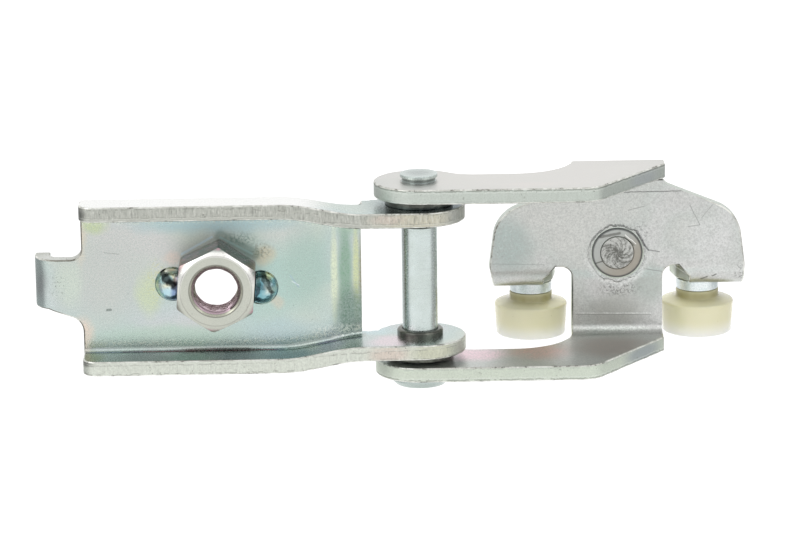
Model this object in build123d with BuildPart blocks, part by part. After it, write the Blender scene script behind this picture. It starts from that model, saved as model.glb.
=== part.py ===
from build123d import *
from math import cos, radians, sin, tan
import os

# Sliding door roller guide: a channel bracket that bolts to the door, hinged by one
# upright pin to a carriage with two guide rollers and one load roller.
# Millimetres. Z runs along the hinge pin, X from the door bracket to the carriage.
# The origin is the centre of the weld nut's seat on the bracket's web, and the web's
# back, where the door's arm bears, faces +Y.

# Sheet steel, the same for both pressings
sheet = 3.2
bend_inner = 2.0
bend_outer = bend_inner + sheet
fit = 0.02                   # all round, where a piece is pressed or staked in
run = 0.05                   # all round, where a piece turns on another
end_play = 0.15              # each end, where a piece turns between two faces

# Hinge
pin_x = 42.8                 # bolt's middle to the hinge pin's
pin_y = 1.6
pin_radius = 3.75
pin_head_radius = 6.4
pin_head = 2.4
pin_head_round = 1.1
pin_stake_radius = 3.95
pin_stake = 1.55
pin_neck = 0.85
pin_neck_radius = 3.5
pin_stake_round = 0.12

# Door bracket
channel_bend = 1.0           # inside the long folds, which are tighter than the others
ear_half = 15.9              # middle to an ear's outer face
ear_radius = 9.65
ear_back = 3.5               # pin's middle to the ears' back edge, left of the eyes
ear_nick = 0.5
ear_nick_length = 1.9
joggle = 2.3                 # how far each flange steps inwards to its ear
joggle_angle = 11.0
joggle_radius = 30.0
joggle_length = 17.3         # from where the flanges start to step in to the web's end
web_end_gap = 12.3           # from the web's end to the pin's middle
sweep_length = 7.1           # the last of the web turns back a little
sweep_angle = 13.0
channel_left = -28.3
flange_corner = 3.0
hook_length = 10.1
hook_top = 5.1
hook_bottom = -5.7
hook_root_drop = 2.5         # the hook's underside slopes down to where it joins the web
hook_slope_length = 7.2
hook_turn_back = 5.0         # how far the hook's tip stands behind the web
hook_top_fillet = 2.4
hook_bottom_fillet = 3.4
hook_corner = 1.4
hook_clip = 2.4              # the tip's lower corner, cut off
hook_clip_depth = 4.2
bolt_clearance_radius = 5.9

# Weld nut, M10
nut_flats = 16.0
nut_height = 8.4
nut_point = 85.5             # direction of the uppermost corner, seen from the front
thread_radius = 4.45         # crest of the thread
nut_mouth_radius = 5.5
nut_crown_radius = 7.5       # flat part of the front face
nut_crown_angle = 30.0
nut_corner_round = 0.9
tack_radius = 3.7
tack_offset = 1.3            # the tacks' middles stand this far out from the flats
tack_rise = 3.4
left_tack_drop = 0.4         # each tack's middle below the nut's
right_tack_drop = 1.5

# Bushes
bush_wall = 1.05
bush_flange_radius = 7.15
bush_flange = 1.3
bush_proud = 1.5
bush_mouth = 0.35
arm_play = 0.4               # between a bush's flange and the arm beside it

# Carriage pressing
eye_radius = 9.5
arm_depth = 16.7             # pin's middle to the front face of the carriage's web
arm_length = 43.1            # pin's middle to that of the stem, wings and load roller
stem_half = 9.75
arm_corner = 6.4             # from the stem's middle back to where an arm's front slopes off
arm_corner_round = 6.0
arm_slope_end = 4.9          # where that slope ends, in front of the web
waist = 4.7                  # pin's middle to an arm's back edge, between eye and stem
waist_fillet = 7.5
stem_fillet = 13.0
shoulder_drop = 5.6          # arm's outer face to where a wing's top meets the stem
shoulder_fillet = 2.4
shoulder_slope = 22.0
wing_half = 27.6
wing_side_slope = 7.3
wing_corner_round = 8.0
tab_bottom = -8.1
left_tab_taper = 1.0
right_tab_taper = 0.1
notch_height = 5.1           # tab's underside to the notch's top, where wing_half is measured
notch_round = 2.4
notch_corner = 13.3          # from the stem's middle, at the notch's top
notch_side = 15.8
notch_side_height = 2.2
tab_neck = 13.5              # from the stem's middle to the tab, beside the roller's collar
tab_neck_front = 0.6
tab_end = 12.2
tab_end_back = 7.5           # roller pin's middle to the tab's back edge
tab_outer_round = 5.0
tab_inner_round = 2.5

# Guide rollers and their pins
guide_spread = 18.2          # each side of the stem's middle
guide_back = 9.3             # behind the web's front face
collar_radius = 4.55
collar = 2.1
guide_pin_radius = 3.0
rivet_radius = 4.1
rivet_edge = 0.35
rivet_top_radius = 2.1
rivet_rise = 1.0
roller_hub_radius = 4.65
roller_hub = 1.85
roller_radius = 7.9
roller_drop = 0.75           # the top face falls this much from hub to rim
roller_rim = 0.5
roller_length = 9.4
roller_taper = 0.4
roller_foot_round = 0.7
counterbore_radius = 5.3
counterbore = 1.9
washer_radius = 4.9
washer = 1.0
guide_tenon_radius = 2.3
guide_stake_radius = 3.2
guide_stake = 0.55

# Load roller and its bearing, 8 x 16 x 5
axle_radius = 4.0
stake_radius = 5.45
stake_depth = 1.6
stake_gap = 0.25
stake_proud = 0.12
stake_disc_radius = 3.5
stake_groove = 0.22
axle_head_radius = 5.6
axle_head = 1.6
axle_head_chamfer = 0.4
spacer_radius = 5.2
spacer = 2.2
bearing_radius = 8.0
bearing_width = 5.0
inner_race_radius = 5.3
outer_race_radius = 6.8
ball_radius = 0.95
ball_count = 11
ball_groove_radius = 1.0
cage_wall = 0.5
cage_half_width = 1.3
cage_pocket_play = 0.1
shield = 0.25
shield_inset = 0.15
shield_gap = 0.12
tyre_radius = 10.5
tyre_width = 8.0
tyre_lip = 0.5
tyre_edge_round = 0.8

# Worked out from the sizes above
channel_half = ear_half + joggle
channel_right = pin_x - web_end_gap
joggle_x = channel_right - joggle_length
sweep_x = channel_right - sweep_length
flange_front = pin_y - ear_radius
ear_back_y = pin_y + ear_back
ear_nick_x = channel_right + ear_nick_length
hook_left = channel_left - hook_length
hook_slope_x = channel_left - hook_slope_length
hook_root_z = hook_bottom - hook_root_drop
hook_tip_y = sheet + hook_turn_back
arm_half = ear_half + bush_flange + arm_play + sheet
arm_front = pin_y - eye_radius
web_y = pin_y + arm_depth
web_back = web_y + sheet
wheel_x = pin_x + arm_length
arm_corner_x = wheel_x - arm_corner
arm_slope_end_y = web_y - arm_slope_end
waist_y = pin_y + waist
shoulder_z = arm_half - shoulder_drop
notch_top = tab_bottom + notch_height
notch_side_z = tab_bottom + notch_side_height
guide_y = web_y + guide_back
tab_neck_y = guide_y - tab_neck_front
tab_end_y = guide_y + tab_end_back
stem_left = wheel_x - stem_half
stem_right = wheel_x + stem_half
tab_top = tab_bottom + sheet
collar_bottom = tab_bottom - collar
roller_top = collar_bottom - end_play
roller_bottom = roller_top - roller_length
washer_top = roller_bottom + counterbore - end_play
bearing_front = web_back + spacer
bearing_back = bearing_front + bearing_width
bearing_middle = (bearing_front + bearing_back) / 2
pitch_radius = (inner_race_radius + outer_race_radius) / 2
reach = 200.0                # longer than the whole part, for cuts that go right through


def at_axis(x, y):
    """Upright plane through a standing axis: across is +X, up is +Z."""
    return Plane((x, y, 0), x_dir=(1, 0, 0), z_dir=(0, -1, 0))


def turned(points, plane, axis):
    """Solid of revolution from its outline in radius and height."""
    with BuildPart() as piece:
        with BuildSketch(plane):
            with BuildLine():
                Polyline(*points, close=True)
            make_face()
        revolve(axis=axis)
    return piece


def save(piece, name):
    piece.part.label = name
    export_step(piece.part, f"parts/{name}.step")


hinge_axis = Axis((pin_x, pin_y, 0), (0, 0, 1))
hinge_plane = at_axis(pin_x, pin_y)
wheel_axis = Axis((wheel_x, 0, 0), (0, 1, 0))
wheel_plane = Plane((wheel_x, 0, 0), x_dir=(1, 0, 0), z_dir=(0, 0, 1))
os.makedirs("parts", exist_ok=True)

# Door bracket: one blank bent to a channel whose flanges step inwards to the ears
joggle_turns = (2 * joggle_radius + sheet) * (1 - cos(radians(joggle_angle)))
joggle_run = (joggle - joggle_turns) / sin(radians(joggle_angle))


def channel_front(face, first_radius, second_radius, left, right):
    """Front view between the flanges' faces at +face and -face, with the joggle."""
    with BuildSketch() as view:
        with BuildLine():
            level = Line((left, face), (joggle_x, face))
            turn_in = JernArc(level @ 1, level % 1, first_radius, -joggle_angle)
            slope = PolarLine(turn_in @ 1, joggle_run, direction=turn_in % 1)
            turn_out = JernArc(slope @ 1, slope % 1, second_radius, joggle_angle)
            ear = Line(turn_out @ 1, (right, (turn_out @ 1).Y))
            Line(level @ 0, (left, 0))
            Line(ear @ 1, (right, 0))
            mirror(about=Plane.XZ)
        make_face()
    return view.sketch


def channel_plan(face, sweep_radius, front, left, right):
    """Plan of all that lies between y = front and a face of the web."""
    with BuildSketch() as view:
        with BuildLine():
            level = Line((left, face), (sweep_x, face))
            turn = JernArc(level @ 1, level % 1, sweep_radius, sweep_angle)
            end_y = (turn @ 1).Y + (right - (turn @ 1).X) * tan(radians(sweep_angle))
            slope = Line(turn @ 1, (right, end_y))
            Polyline(slope @ 1, (right, front), (left, front), level @ 0)
        make_face()
    return view.sketch


def back_corners(piece, face):
    """The long edges along the back of a channel, where the flanges turn."""
    def is_corner(edge):
        middle_tangent = edge % 0.5
        return edge.center().Y > face - fit and abs(middle_tangent.X) > abs(middle_tangent.Z)
    return piece.edges().filter_by(is_corner)


with BuildPart() as hollow:
    with BuildSketch(Plane.XZ):
        add(channel_front(channel_half - sheet, joggle_radius, joggle_radius + sheet,
                          channel_left - sheet, pin_x))
    extrude(amount=reach, both=True)
    with BuildSketch(Plane.XY):
        add(channel_plan(0, bend_outer, flange_front - sheet, channel_left - sheet, pin_x))
    extrude(amount=reach, both=True, mode=Mode.INTERSECT)
    fillet(back_corners(hollow, 0), channel_bend)

with BuildPart() as channel:
    with BuildSketch(Plane.XZ):
        add(channel_front(channel_half, joggle_radius + sheet, joggle_radius, channel_left, pin_x))
    extrude(amount=reach, both=True)
    with BuildSketch(Plane.XY):
        add(channel_plan(sheet, bend_inner, flange_front, channel_left, channel_right))
    extrude(amount=reach, both=True, mode=Mode.INTERSECT)
    fillet(back_corners(channel, sheet), channel_bend + sheet)
    add(hollow.part, mode=Mode.SUBTRACT)

with BuildPart() as ears:
    with BuildSketch(Plane.XZ):
        add(channel_front(channel_half, joggle_radius + sheet, joggle_radius,
                          channel_left, pin_x + ear_radius))
    extrude(amount=reach, both=True)
    with BuildSketch(Plane.XZ):
        add(channel_front(channel_half - sheet, joggle_radius, joggle_radius + sheet,
                          channel_left, pin_x + ear_radius))
    extrude(amount=reach, both=True, mode=Mode.SUBTRACT)
    with BuildSketch(Plane.XY):
        with Locations((pin_x, pin_y)):
            Circle(ear_radius)
        with BuildLine():
            Polyline((channel_right, flange_front), (pin_x, flange_front), (pin_x, ear_back_y),
                     (ear_nick_x, ear_back_y), (ear_nick_x, ear_back_y - ear_nick),
                     (channel_right, ear_back_y - ear_nick), close=True)
        make_face()
    extrude(amount=reach, both=True, mode=Mode.INTERSECT)

with BuildPart() as hook:
    with BuildSketch(Plane.XY):
        with BuildLine():
            face = Line((channel_left, 0), (hook_left + bend_outer, 0))
            turn = JernArc(face @ 1, face % 1, bend_outer, -90)
            tip = Line(turn @ 1, (hook_left, hook_tip_y))
            end = Line(tip @ 1, (hook_left + sheet, hook_tip_y))
            inside = Line(end @ 1, (hook_left + sheet, bend_outer))
            inside_turn = JernArc(inside @ 1, inside % 1, bend_inner, 90)
            Polyline(inside_turn @ 1, (channel_left, sheet), (channel_left, 0))
        make_face()
    extrude(amount=reach, both=True)
    with BuildSketch(Plane.XZ):
        with BuildLine():
            Polyline((channel_left, hook_top), (hook_left, hook_top), (hook_left, hook_bottom),
                     (hook_slope_x, hook_bottom), (channel_left, hook_root_z), close=True)
        make_face()
    extrude(amount=reach, both=True, mode=Mode.INTERSECT)
    tips = hook.edges().filter_by(Axis.X).filter_by_position(
        Axis.Y, hook_tip_y - fit, hook_tip_y + fit)
    fillet(tips.sort_by(Axis.Z)[-1], hook_corner)
    with BuildSketch(Plane.YZ.offset(hook_left)):
        with BuildLine():
            Polyline((hook_tip_y, hook_bottom + hook_clip), (hook_tip_y, hook_bottom),
                     (hook_tip_y - hook_clip_depth, hook_bottom), close=True)
        make_face()
    extrude(amount=bend_outer, mode=Mode.SUBTRACT)

with BuildPart() as door_bracket:
    add(channel.part)
    add(ears.part)
    add(hook.part)
    roots = door_bracket.edges().filter_by(Axis.Y).filter_by_position(
        Axis.X, channel_left - fit, channel_left + fit)
    fillet(roots.filter_by_position(Axis.Z, hook_top - fit, hook_top + fit), hook_top_fillet)
    fillet(roots.filter_by_position(Axis.Z, hook_root_z - fit, hook_root_z + fit), hook_bottom_fillet)
    corners = door_bracket.edges().filter_by(Axis.Z).filter_by_position(
        Axis.X, channel_left - fit, channel_left + fit)
    fillet(corners.filter_by_position(Axis.Y, flange_front - fit, flange_front + fit), flange_corner)
    with BuildSketch(Plane.XY):
        with Locations((pin_x, pin_y)):
            Circle(pin_radius + run + bush_wall + fit)
    extrude(amount=reach, both=True, mode=Mode.SUBTRACT)
    with BuildSketch(Plane.XZ.offset(-sheet - fit)):
        Circle(bolt_clearance_radius)
    extrude(amount=sheet + 2 * fit, mode=Mode.SUBTRACT)
save(door_bracket, "door_bracket")

# Weld nut: hexagon turned a few degrees, crowned at its front, with an open mouth
nut_corner = nut_flats / 3**0.5
crown_drop = (nut_corner - nut_crown_radius) * tan(radians(nut_crown_angle))
with BuildPart() as weld_nut:
    with BuildSketch(Plane.XZ):
        RegularPolygon(nut_flats / 2, 6, major_radius=False, rotation=nut_point)
    extrude(amount=nut_height)
    fillet(weld_nut.edges().filter_by(Axis.Y), nut_corner_round)
    with BuildSketch(Plane.XY):
        with BuildLine():
            Polyline((0, 0), (nut_corner, 0), (nut_corner, crown_drop - nut_height),
                     (nut_crown_radius, -nut_height), (0, -nut_height), close=True)
        make_face()
    revolve(axis=Axis.Y, mode=Mode.INTERSECT)
    mouth = nut_mouth_radius - thread_radius
    with BuildSketch(Plane.XY):
        with BuildLine():
            Polyline((0, fit), (thread_radius, fit), (thread_radius, mouth - nut_height),
                     (nut_mouth_radius, -nut_height), (nut_mouth_radius, -nut_height - fit),
                     (0, -nut_height - fit), close=True)
        make_face()
    revolve(axis=Axis.Y, mode=Mode.SUBTRACT)
save(weld_nut, "weld_nut")

# Tack welds: a bead of weld metal in the corner between each side flat and the web
for side, drop, name in ((-1, left_tack_drop, "left_weld_tack"), (1, right_tack_drop, "right_weld_tack")):
    with BuildPart() as bead:
        Sphere(tack_radius)
        scale(by=(1, tack_rise / tack_radius, 1))
    with BuildPart() as tack:
        with Locations((side * (nut_flats / 2 + tack_offset), 0, -drop)):
            add(bead.part)
        split(bisect_by=Plane.XZ)
        with BuildSketch(Plane.XZ.offset(-fit)):
            RegularPolygon(nut_flats / 2, 6, major_radius=False, rotation=nut_point)
        extrude(amount=nut_height, mode=Mode.SUBTRACT)
    save(tack, name)

# Flanged bushes, one in each ear, with the flange between ear and arm
bush_radius = pin_radius + run + bush_wall
ear_inner = ear_half - sheet
for side, name in ((1, "upper_bush"), (-1, "lower_bush")):
    with BuildPart() as bush:
        with BuildSketch(hinge_plane):
            with BuildLine():
                Polyline((pin_radius + run, side * (ear_inner - bush_proud)),
                         (bush_radius - bush_mouth, side * (ear_inner - bush_proud)),
                         (bush_radius, side * (ear_inner - bush_proud + bush_mouth)),
                         (bush_radius, side * ear_half),
                         (bush_flange_radius, side * ear_half),
                         (bush_flange_radius, side * (ear_half + bush_flange)),
                         (pin_radius + run, side * (ear_half + bush_flange)), close=True)
            make_face()
        revolve(axis=hinge_axis)
    save(bush, name)

# Hinge pin: formed head below the lower arm, staked over the upper one
with BuildPart() as hinge_pin:
    with BuildSketch(hinge_plane):
        with BuildLine():
            Polyline((0, -arm_half - pin_head), (pin_head_radius - pin_head_round, -arm_half - pin_head),
                     (pin_head_radius, -arm_half - pin_head + pin_head_round),
                     (pin_head_radius, -arm_half), (pin_radius, -arm_half), (pin_radius, arm_half),
                     (pin_neck_radius, arm_half), (pin_neck_radius, arm_half + pin_neck),
                     (pin_stake_radius, arm_half + pin_neck),
                     (pin_stake_radius, arm_half + pin_stake - pin_stake_round),
                     (pin_stake_radius - pin_stake_round, arm_half + pin_stake),
                     (0, arm_half + pin_stake), close=True)
        make_face()
    revolve(axis=hinge_axis)
save(hinge_pin, "hinge_pin")

# Carriage frame, first the stem with the two arms that reach to the hinge
with BuildPart() as yoke:
    with BuildSketch(Plane.YZ.offset(pin_x - eye_radius)):
        with BuildLine():
            outer = FilletPolyline((arm_front, arm_half), (web_back, arm_half),
                                   (web_back, -arm_half), (arm_front, -arm_half), radius=bend_outer)
            inner = FilletPolyline((arm_front, arm_half - sheet), (web_y, arm_half - sheet),
                                   (web_y, sheet - arm_half), (arm_front, sheet - arm_half),
                                   radius=bend_inner)
            Line(outer @ 0, inner @ 0)
            Line(outer @ 1, inner @ 1)
        make_face()
    extrude(amount=stem_right - pin_x + eye_radius)
    with BuildSketch(Plane.XY) as arm_plan:
        with BuildLine():
            Polyline((pin_x, arm_front), (arm_corner_x, arm_front), (stem_right, arm_slope_end_y),
                     (stem_right, web_back), (stem_left, web_back), (stem_left, waist_y),
                     (pin_x, waist_y), close=True)
        make_face()
        with Locations((pin_x, pin_y)):
            Circle(eye_radius)
        waist_x = pin_x + (eye_radius**2 - (waist_y - pin_y) ** 2) ** 0.5
        for corner, radius in (((arm_corner_x, arm_front), arm_corner_round),
                               ((stem_left, waist_y), stem_fillet),
                               ((waist_x, waist_y), waist_fillet)):
            fillet(arm_plan.vertices().sort_by_distance(corner)[0], radius)
    extrude(amount=reach, both=True, mode=Mode.INTERSECT)

# The wings: their tops slope away from the stem and their feet turn back as tabs
wing_bend_z = tab_bottom + bend_outer
wing_bend_half = wing_half + (notch_top - wing_bend_z) * tan(radians(wing_side_slope))


def wing_top_corner():
    """Where a wing's sloping top and leaning side would meet, from the stem's middle."""
    slope = tan(radians(shoulder_slope))
    lean = tan(radians(wing_side_slope))
    z = (shoulder_z - slope * (wing_half + lean * notch_top - stem_half)) / (1 - slope * lean)
    return wing_half - lean * (z - notch_top), z


with BuildPart() as wings:
    with BuildSketch(Plane.XZ.offset(-web_back)) as web_outline:
        corner_u, corner_z = wing_top_corner()
        stem_end = arm_half - bend_outer / 2
        half_outline = [(0, stem_end), (stem_half, stem_end), (stem_half, shoulder_z),
                        (corner_u, corner_z), (wing_bend_half, wing_bend_z),
                        (notch_corner, wing_bend_z), (notch_corner, notch_top),
                        (stem_half, notch_top), (stem_half, -stem_end), (0, -stem_end)]
        for side in (-1, 1):
            with BuildLine():
                Polyline(*[(wheel_x + side * u, z) for u, z in half_outline], close=True)
            make_face()
        for side in (-1, 1):
            for (u, z), radius in (((stem_half, shoulder_z), shoulder_fillet),
                                   ((corner_u, corner_z), wing_corner_round),
                                   ((stem_half, notch_top), notch_round)):
                near = web_outline.vertices().sort_by_distance((wheel_x + side * u, z))[0]
                fillet(near, radius)
    extrude(amount=sheet)
    with BuildSketch(Plane.YZ.offset(wheel_x)):
        with BuildLine():
            back = FilletPolyline((arm_front, arm_half), (web_back, arm_half),
                                  (web_back, -arm_half), (arm_front, -arm_half), radius=bend_outer)
            Line(back @ 1, back @ 0)
        make_face()
    extrude(amount=2 * wing_half, both=True, mode=Mode.INTERSECT)


def tab(side, taper):
    """A wing's bend and the flat tab behind it, which carries a guide roller."""
    across = lambda u: wheel_x + side * u
    foot = wing_half - taper
    with BuildPart() as bend:
        with BuildSketch(Plane.YZ.offset(wheel_x)):
            with BuildLine():
                front = FilletPolyline((web_y, wing_bend_z + sheet), (web_y, tab_bottom),
                                       (web_y + bend_outer + sheet, tab_bottom), radius=bend_outer)
                back = FilletPolyline((web_back, wing_bend_z + sheet), (web_back, tab_top),
                                      (web_y + bend_outer + sheet, tab_top), radius=bend_inner)
                Line(front @ 0, back @ 0)
                Line(front @ 1, back @ 1)
            make_face()
        extrude(amount=side * wing_half * 2)
        with BuildSketch(Plane.XZ.offset(-web_y - bend_outer)):
            with BuildLine():
                Polyline((across(notch_corner), wing_bend_z), (across(wing_bend_half), wing_bend_z),
                         (across(foot), tab_bottom), (across(notch_side), tab_bottom),
                         (across(notch_side), notch_side_z), (across(notch_corner), notch_top),
                         close=True)
            make_face()
        extrude(amount=bend_outer, mode=Mode.INTERSECT)
        with BuildSketch(Plane.XY.offset(tab_bottom)) as plate:
            with BuildLine():
                Polyline((across(foot), web_y + bend_outer), (across(foot), tab_end_y),
                         (across(tab_end), tab_end_y), (across(tab_neck), tab_neck_y),
                         (across(notch_side), web_y + bend_outer), close=True)
            make_face()
            for corner, radius in ((foot, tab_outer_round), (tab_end, tab_inner_round)):
                near = plate.vertices().sort_by_distance((across(corner), tab_end_y))[0]
                fillet(near, radius)
        extrude(amount=sheet)
    return bend


left_tab = tab(-1, left_tab_taper)
right_tab = tab(1, right_tab_taper)
guides = (("left", wheel_x - guide_spread), ("right", wheel_x + guide_spread))

with BuildPart() as carriage_frame:
    add(yoke.part)
    add(wings.part)
    add(left_tab.part)
    add(right_tab.part)
    with BuildSketch(Plane.XY.offset(-reach / 2)):
        with Locations((pin_x, pin_y)):
            Circle(pin_radius + fit)
    extrude(amount=reach, mode=Mode.SUBTRACT)
    with BuildSketch(Plane.XY.offset(tab_bottom - fit)):
        with Locations(*[(x, guide_y) for name, x in guides]):
            Circle(guide_pin_radius + fit)
    extrude(amount=sheet + 2 * fit, mode=Mode.SUBTRACT)
    with BuildSketch(wheel_plane):
        with BuildLine():
            Polyline((0, web_y - fit), (stake_radius + stake_gap, web_y - fit),
                     (stake_radius + stake_gap, web_y), (axle_radius + fit, web_y + stake_depth),
                     (axle_radius + fit, web_back + fit), (0, web_back + fit), close=True)
        make_face()
    revolve(axis=wheel_axis, mode=Mode.SUBTRACT)
save(carriage_frame, "carriage_frame")

# Guide rollers, each on a shouldered pin riveted in its tab, held by a washer
for name, x in guides:
    plane = at_axis(x, guide_y)
    axis = Axis((x, guide_y, 0), (0, 0, 1))
    pin = turned([(0, tab_top + rivet_rise), (rivet_top_radius, tab_top + rivet_rise),
                  (rivet_radius, tab_top + rivet_edge), (rivet_radius, tab_top),
                  (guide_pin_radius, tab_top), (guide_pin_radius, tab_bottom),
                  (collar_radius, tab_bottom), (collar_radius, collar_bottom),
                  (guide_pin_radius, collar_bottom), (guide_pin_radius, washer_top),
                  (guide_tenon_radius, washer_top), (guide_tenon_radius, washer_top - washer),
                  (guide_stake_radius, washer_top - washer),
                  (guide_tenon_radius, washer_top - washer - guide_stake),
                  (0, washer_top - washer - guide_stake)], plane, axis)
    save(pin, f"{name}_roller_pin")

    ring = turned([(guide_tenon_radius + fit, washer_top), (washer_radius, washer_top),
                   (washer_radius, washer_top - washer),
                   (guide_tenon_radius + fit, washer_top - washer)], plane, axis)
    save(ring, f"{name}_retaining_washer")

    bore = guide_pin_radius + run
    shoulder = roller_top - roller_hub
    rim_top = shoulder - roller_drop
    foot_radius = roller_radius - roller_taper
    with BuildPart() as roller:
        with BuildSketch(plane) as section:
            with BuildLine():
                Polyline((bore, roller_top), (roller_hub_radius, roller_top),
                         (roller_hub_radius, shoulder), (roller_radius, rim_top),
                         (foot_radius, roller_bottom), (counterbore_radius, roller_bottom),
                         (counterbore_radius, roller_bottom + counterbore),
                         (bore, roller_bottom + counterbore), close=True)
            make_face()
            outer = section.vertices().group_by(Axis.X)[-1]
            foot = section.vertices().sort_by(Axis.Y)[:2].sort_by(Axis.X)[-1]
            fillet(outer, roller_rim)
            fillet(foot, roller_foot_round)
        revolve(axis=axis)
    save(roller, f"{name}_guide_roller")

# Load roller's axle: headed behind the bearing and staked into the web's countersink
axle_end = bearing_back + end_play
load_roller_axle = turned(
    [(0, web_y - stake_proud), (stake_disc_radius, web_y - stake_proud),
     (stake_disc_radius, web_y + stake_groove), (stake_disc_radius + stake_groove, web_y),
     (stake_radius, web_y), (axle_radius, web_y + stake_depth), (axle_radius, axle_end),
     (axle_head_radius, axle_end), (axle_head_radius, axle_end + axle_head - axle_head_chamfer),
     (axle_head_radius - axle_head_chamfer, axle_end + axle_head), (0, axle_end + axle_head)],
    wheel_plane, wheel_axis)
save(load_roller_axle, "load_roller_axle")

spacer_washer = turned(
    [(axle_radius + fit, web_back), (spacer_radius, web_back), (spacer_radius, bearing_front),
     (axle_radius + fit, bearing_front)], wheel_plane, wheel_axis)
save(spacer_washer, "spacer_washer")


def race(inner_radius, outer_radius):
    """A bearing ring with the ball groove cut into whichever side faces the balls."""
    with BuildPart() as ring:
        with BuildSketch(wheel_plane):
            with Locations(((inner_radius + outer_radius) / 2, bearing_middle)):
                Rectangle(outer_radius - inner_radius, bearing_width)
            with Locations((pitch_radius, bearing_middle)):
                Circle(ball_groove_radius, mode=Mode.SUBTRACT)
        revolve(axis=wheel_axis)
    return ring


save(race(axle_radius + fit, inner_race_radius), "bearing_inner_ring")
save(race(outer_race_radius, bearing_radius), "bearing_outer_ring")

ball_plane = Plane((wheel_x, bearing_middle, 0), x_dir=(1, 0, 0), z_dir=(0, -1, 0))
with BuildPart(ball_plane) as bearing_balls:
    with PolarLocations(pitch_radius, ball_count):
        Sphere(ball_radius)
save(bearing_balls, "bearing_balls")

with BuildPart(ball_plane) as bearing_cage:
    with BuildSketch(wheel_plane):
        with Locations((pitch_radius, bearing_middle)):
            Rectangle(cage_wall, 2 * cage_half_width)
    revolve(axis=wheel_axis)
    with PolarLocations(pitch_radius, ball_count):
        Cylinder(ball_radius + cage_pocket_play, 2 * ball_radius, rotation=(0, 90, 0), mode=Mode.SUBTRACT)
save(bearing_cage, "bearing_cage")

# Shields: thin discs held in the outer ring, one at each side of the balls
shield_outer = outer_race_radius - fit
for name, face in (("front_bearing_shield", bearing_front + shield_inset),
                   ("rear_bearing_shield", bearing_back - shield_inset - shield)):
    disc = turned([(inner_race_radius + shield_gap, face), (shield_outer, face),
                   (shield_outer, face + shield), (inner_race_radius + shield_gap, face + shield)],
                  wheel_plane, wheel_axis)
    save(disc, name)

# Tyre moulded round the outer ring, with a lip at each side that keeps it on
tyre_front = bearing_middle - tyre_width / 2
tyre_back = bearing_middle + tyre_width / 2
load_roller_tyre = turned(
    [(bearing_radius + fit, bearing_front), (bearing_radius - tyre_lip, bearing_front),
     (bearing_radius - tyre_lip, tyre_front), (tyre_radius - tyre_edge_round, tyre_front),
     (tyre_radius, tyre_front + tyre_edge_round), (tyre_radius, tyre_back - tyre_edge_round),
     (tyre_radius - tyre_edge_round, tyre_back), (bearing_radius - tyre_lip, tyre_back),
     (bearing_radius - tyre_lip, bearing_back), (bearing_radius + fit, bearing_back)],
    wheel_plane, wheel_axis)
save(load_roller_tyre, "load_roller_tyre")
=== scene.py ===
from math import ceil, cos, pi, radians, sin

import bmesh
import bpy
from mathutils import Matrix, Vector, noise
from mathutils.bvhtree import BVHTree


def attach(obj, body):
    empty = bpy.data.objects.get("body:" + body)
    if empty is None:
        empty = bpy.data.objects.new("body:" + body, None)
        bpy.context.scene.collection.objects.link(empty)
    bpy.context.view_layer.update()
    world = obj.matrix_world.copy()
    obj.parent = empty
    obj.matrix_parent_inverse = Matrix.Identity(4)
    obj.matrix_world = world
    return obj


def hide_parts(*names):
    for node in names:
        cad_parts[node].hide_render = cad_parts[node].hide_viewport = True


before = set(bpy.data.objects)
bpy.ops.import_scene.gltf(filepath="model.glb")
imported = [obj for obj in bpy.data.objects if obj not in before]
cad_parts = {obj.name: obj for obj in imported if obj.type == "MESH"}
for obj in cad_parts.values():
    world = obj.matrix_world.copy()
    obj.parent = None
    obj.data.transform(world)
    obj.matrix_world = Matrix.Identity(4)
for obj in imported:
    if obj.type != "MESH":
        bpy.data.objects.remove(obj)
scene = bpy.context.scene
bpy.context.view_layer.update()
mm = 0.001
print("frame loaded:", len(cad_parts), "nodes")


# Shader wires: sums on them add Math nodes
class Wire:
    def __init__(self, builder, socket):
        self.builder = builder
        self.socket = socket

    def maths(self, operation, first, second):
        return self.builder.node("ShaderNodeMath", {"operation": operation}, {0: first, 1: second})

    def __add__(self, other):
        return self.maths("ADD", self, other)

    def __radd__(self, other):
        return self.maths("ADD", other, self)

    def __sub__(self, other):
        return self.maths("SUBTRACT", self, other)

    def __rsub__(self, other):
        return self.maths("SUBTRACT", other, self)

    def __mul__(self, other):
        return self.maths("MULTIPLY", self, other)

    def __rmul__(self, other):
        return self.maths("MULTIPLY", other, self)


# A patch is full out to patchCore of its reach, and a stroke out to strokeCore of its half width
brush = {"patchCore": 0.3, "strokeCore": 0.4, "driftDetail": 2.0}
acrossFace = (1, 0, 1)  # leaves out y, the way through the sheet


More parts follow.
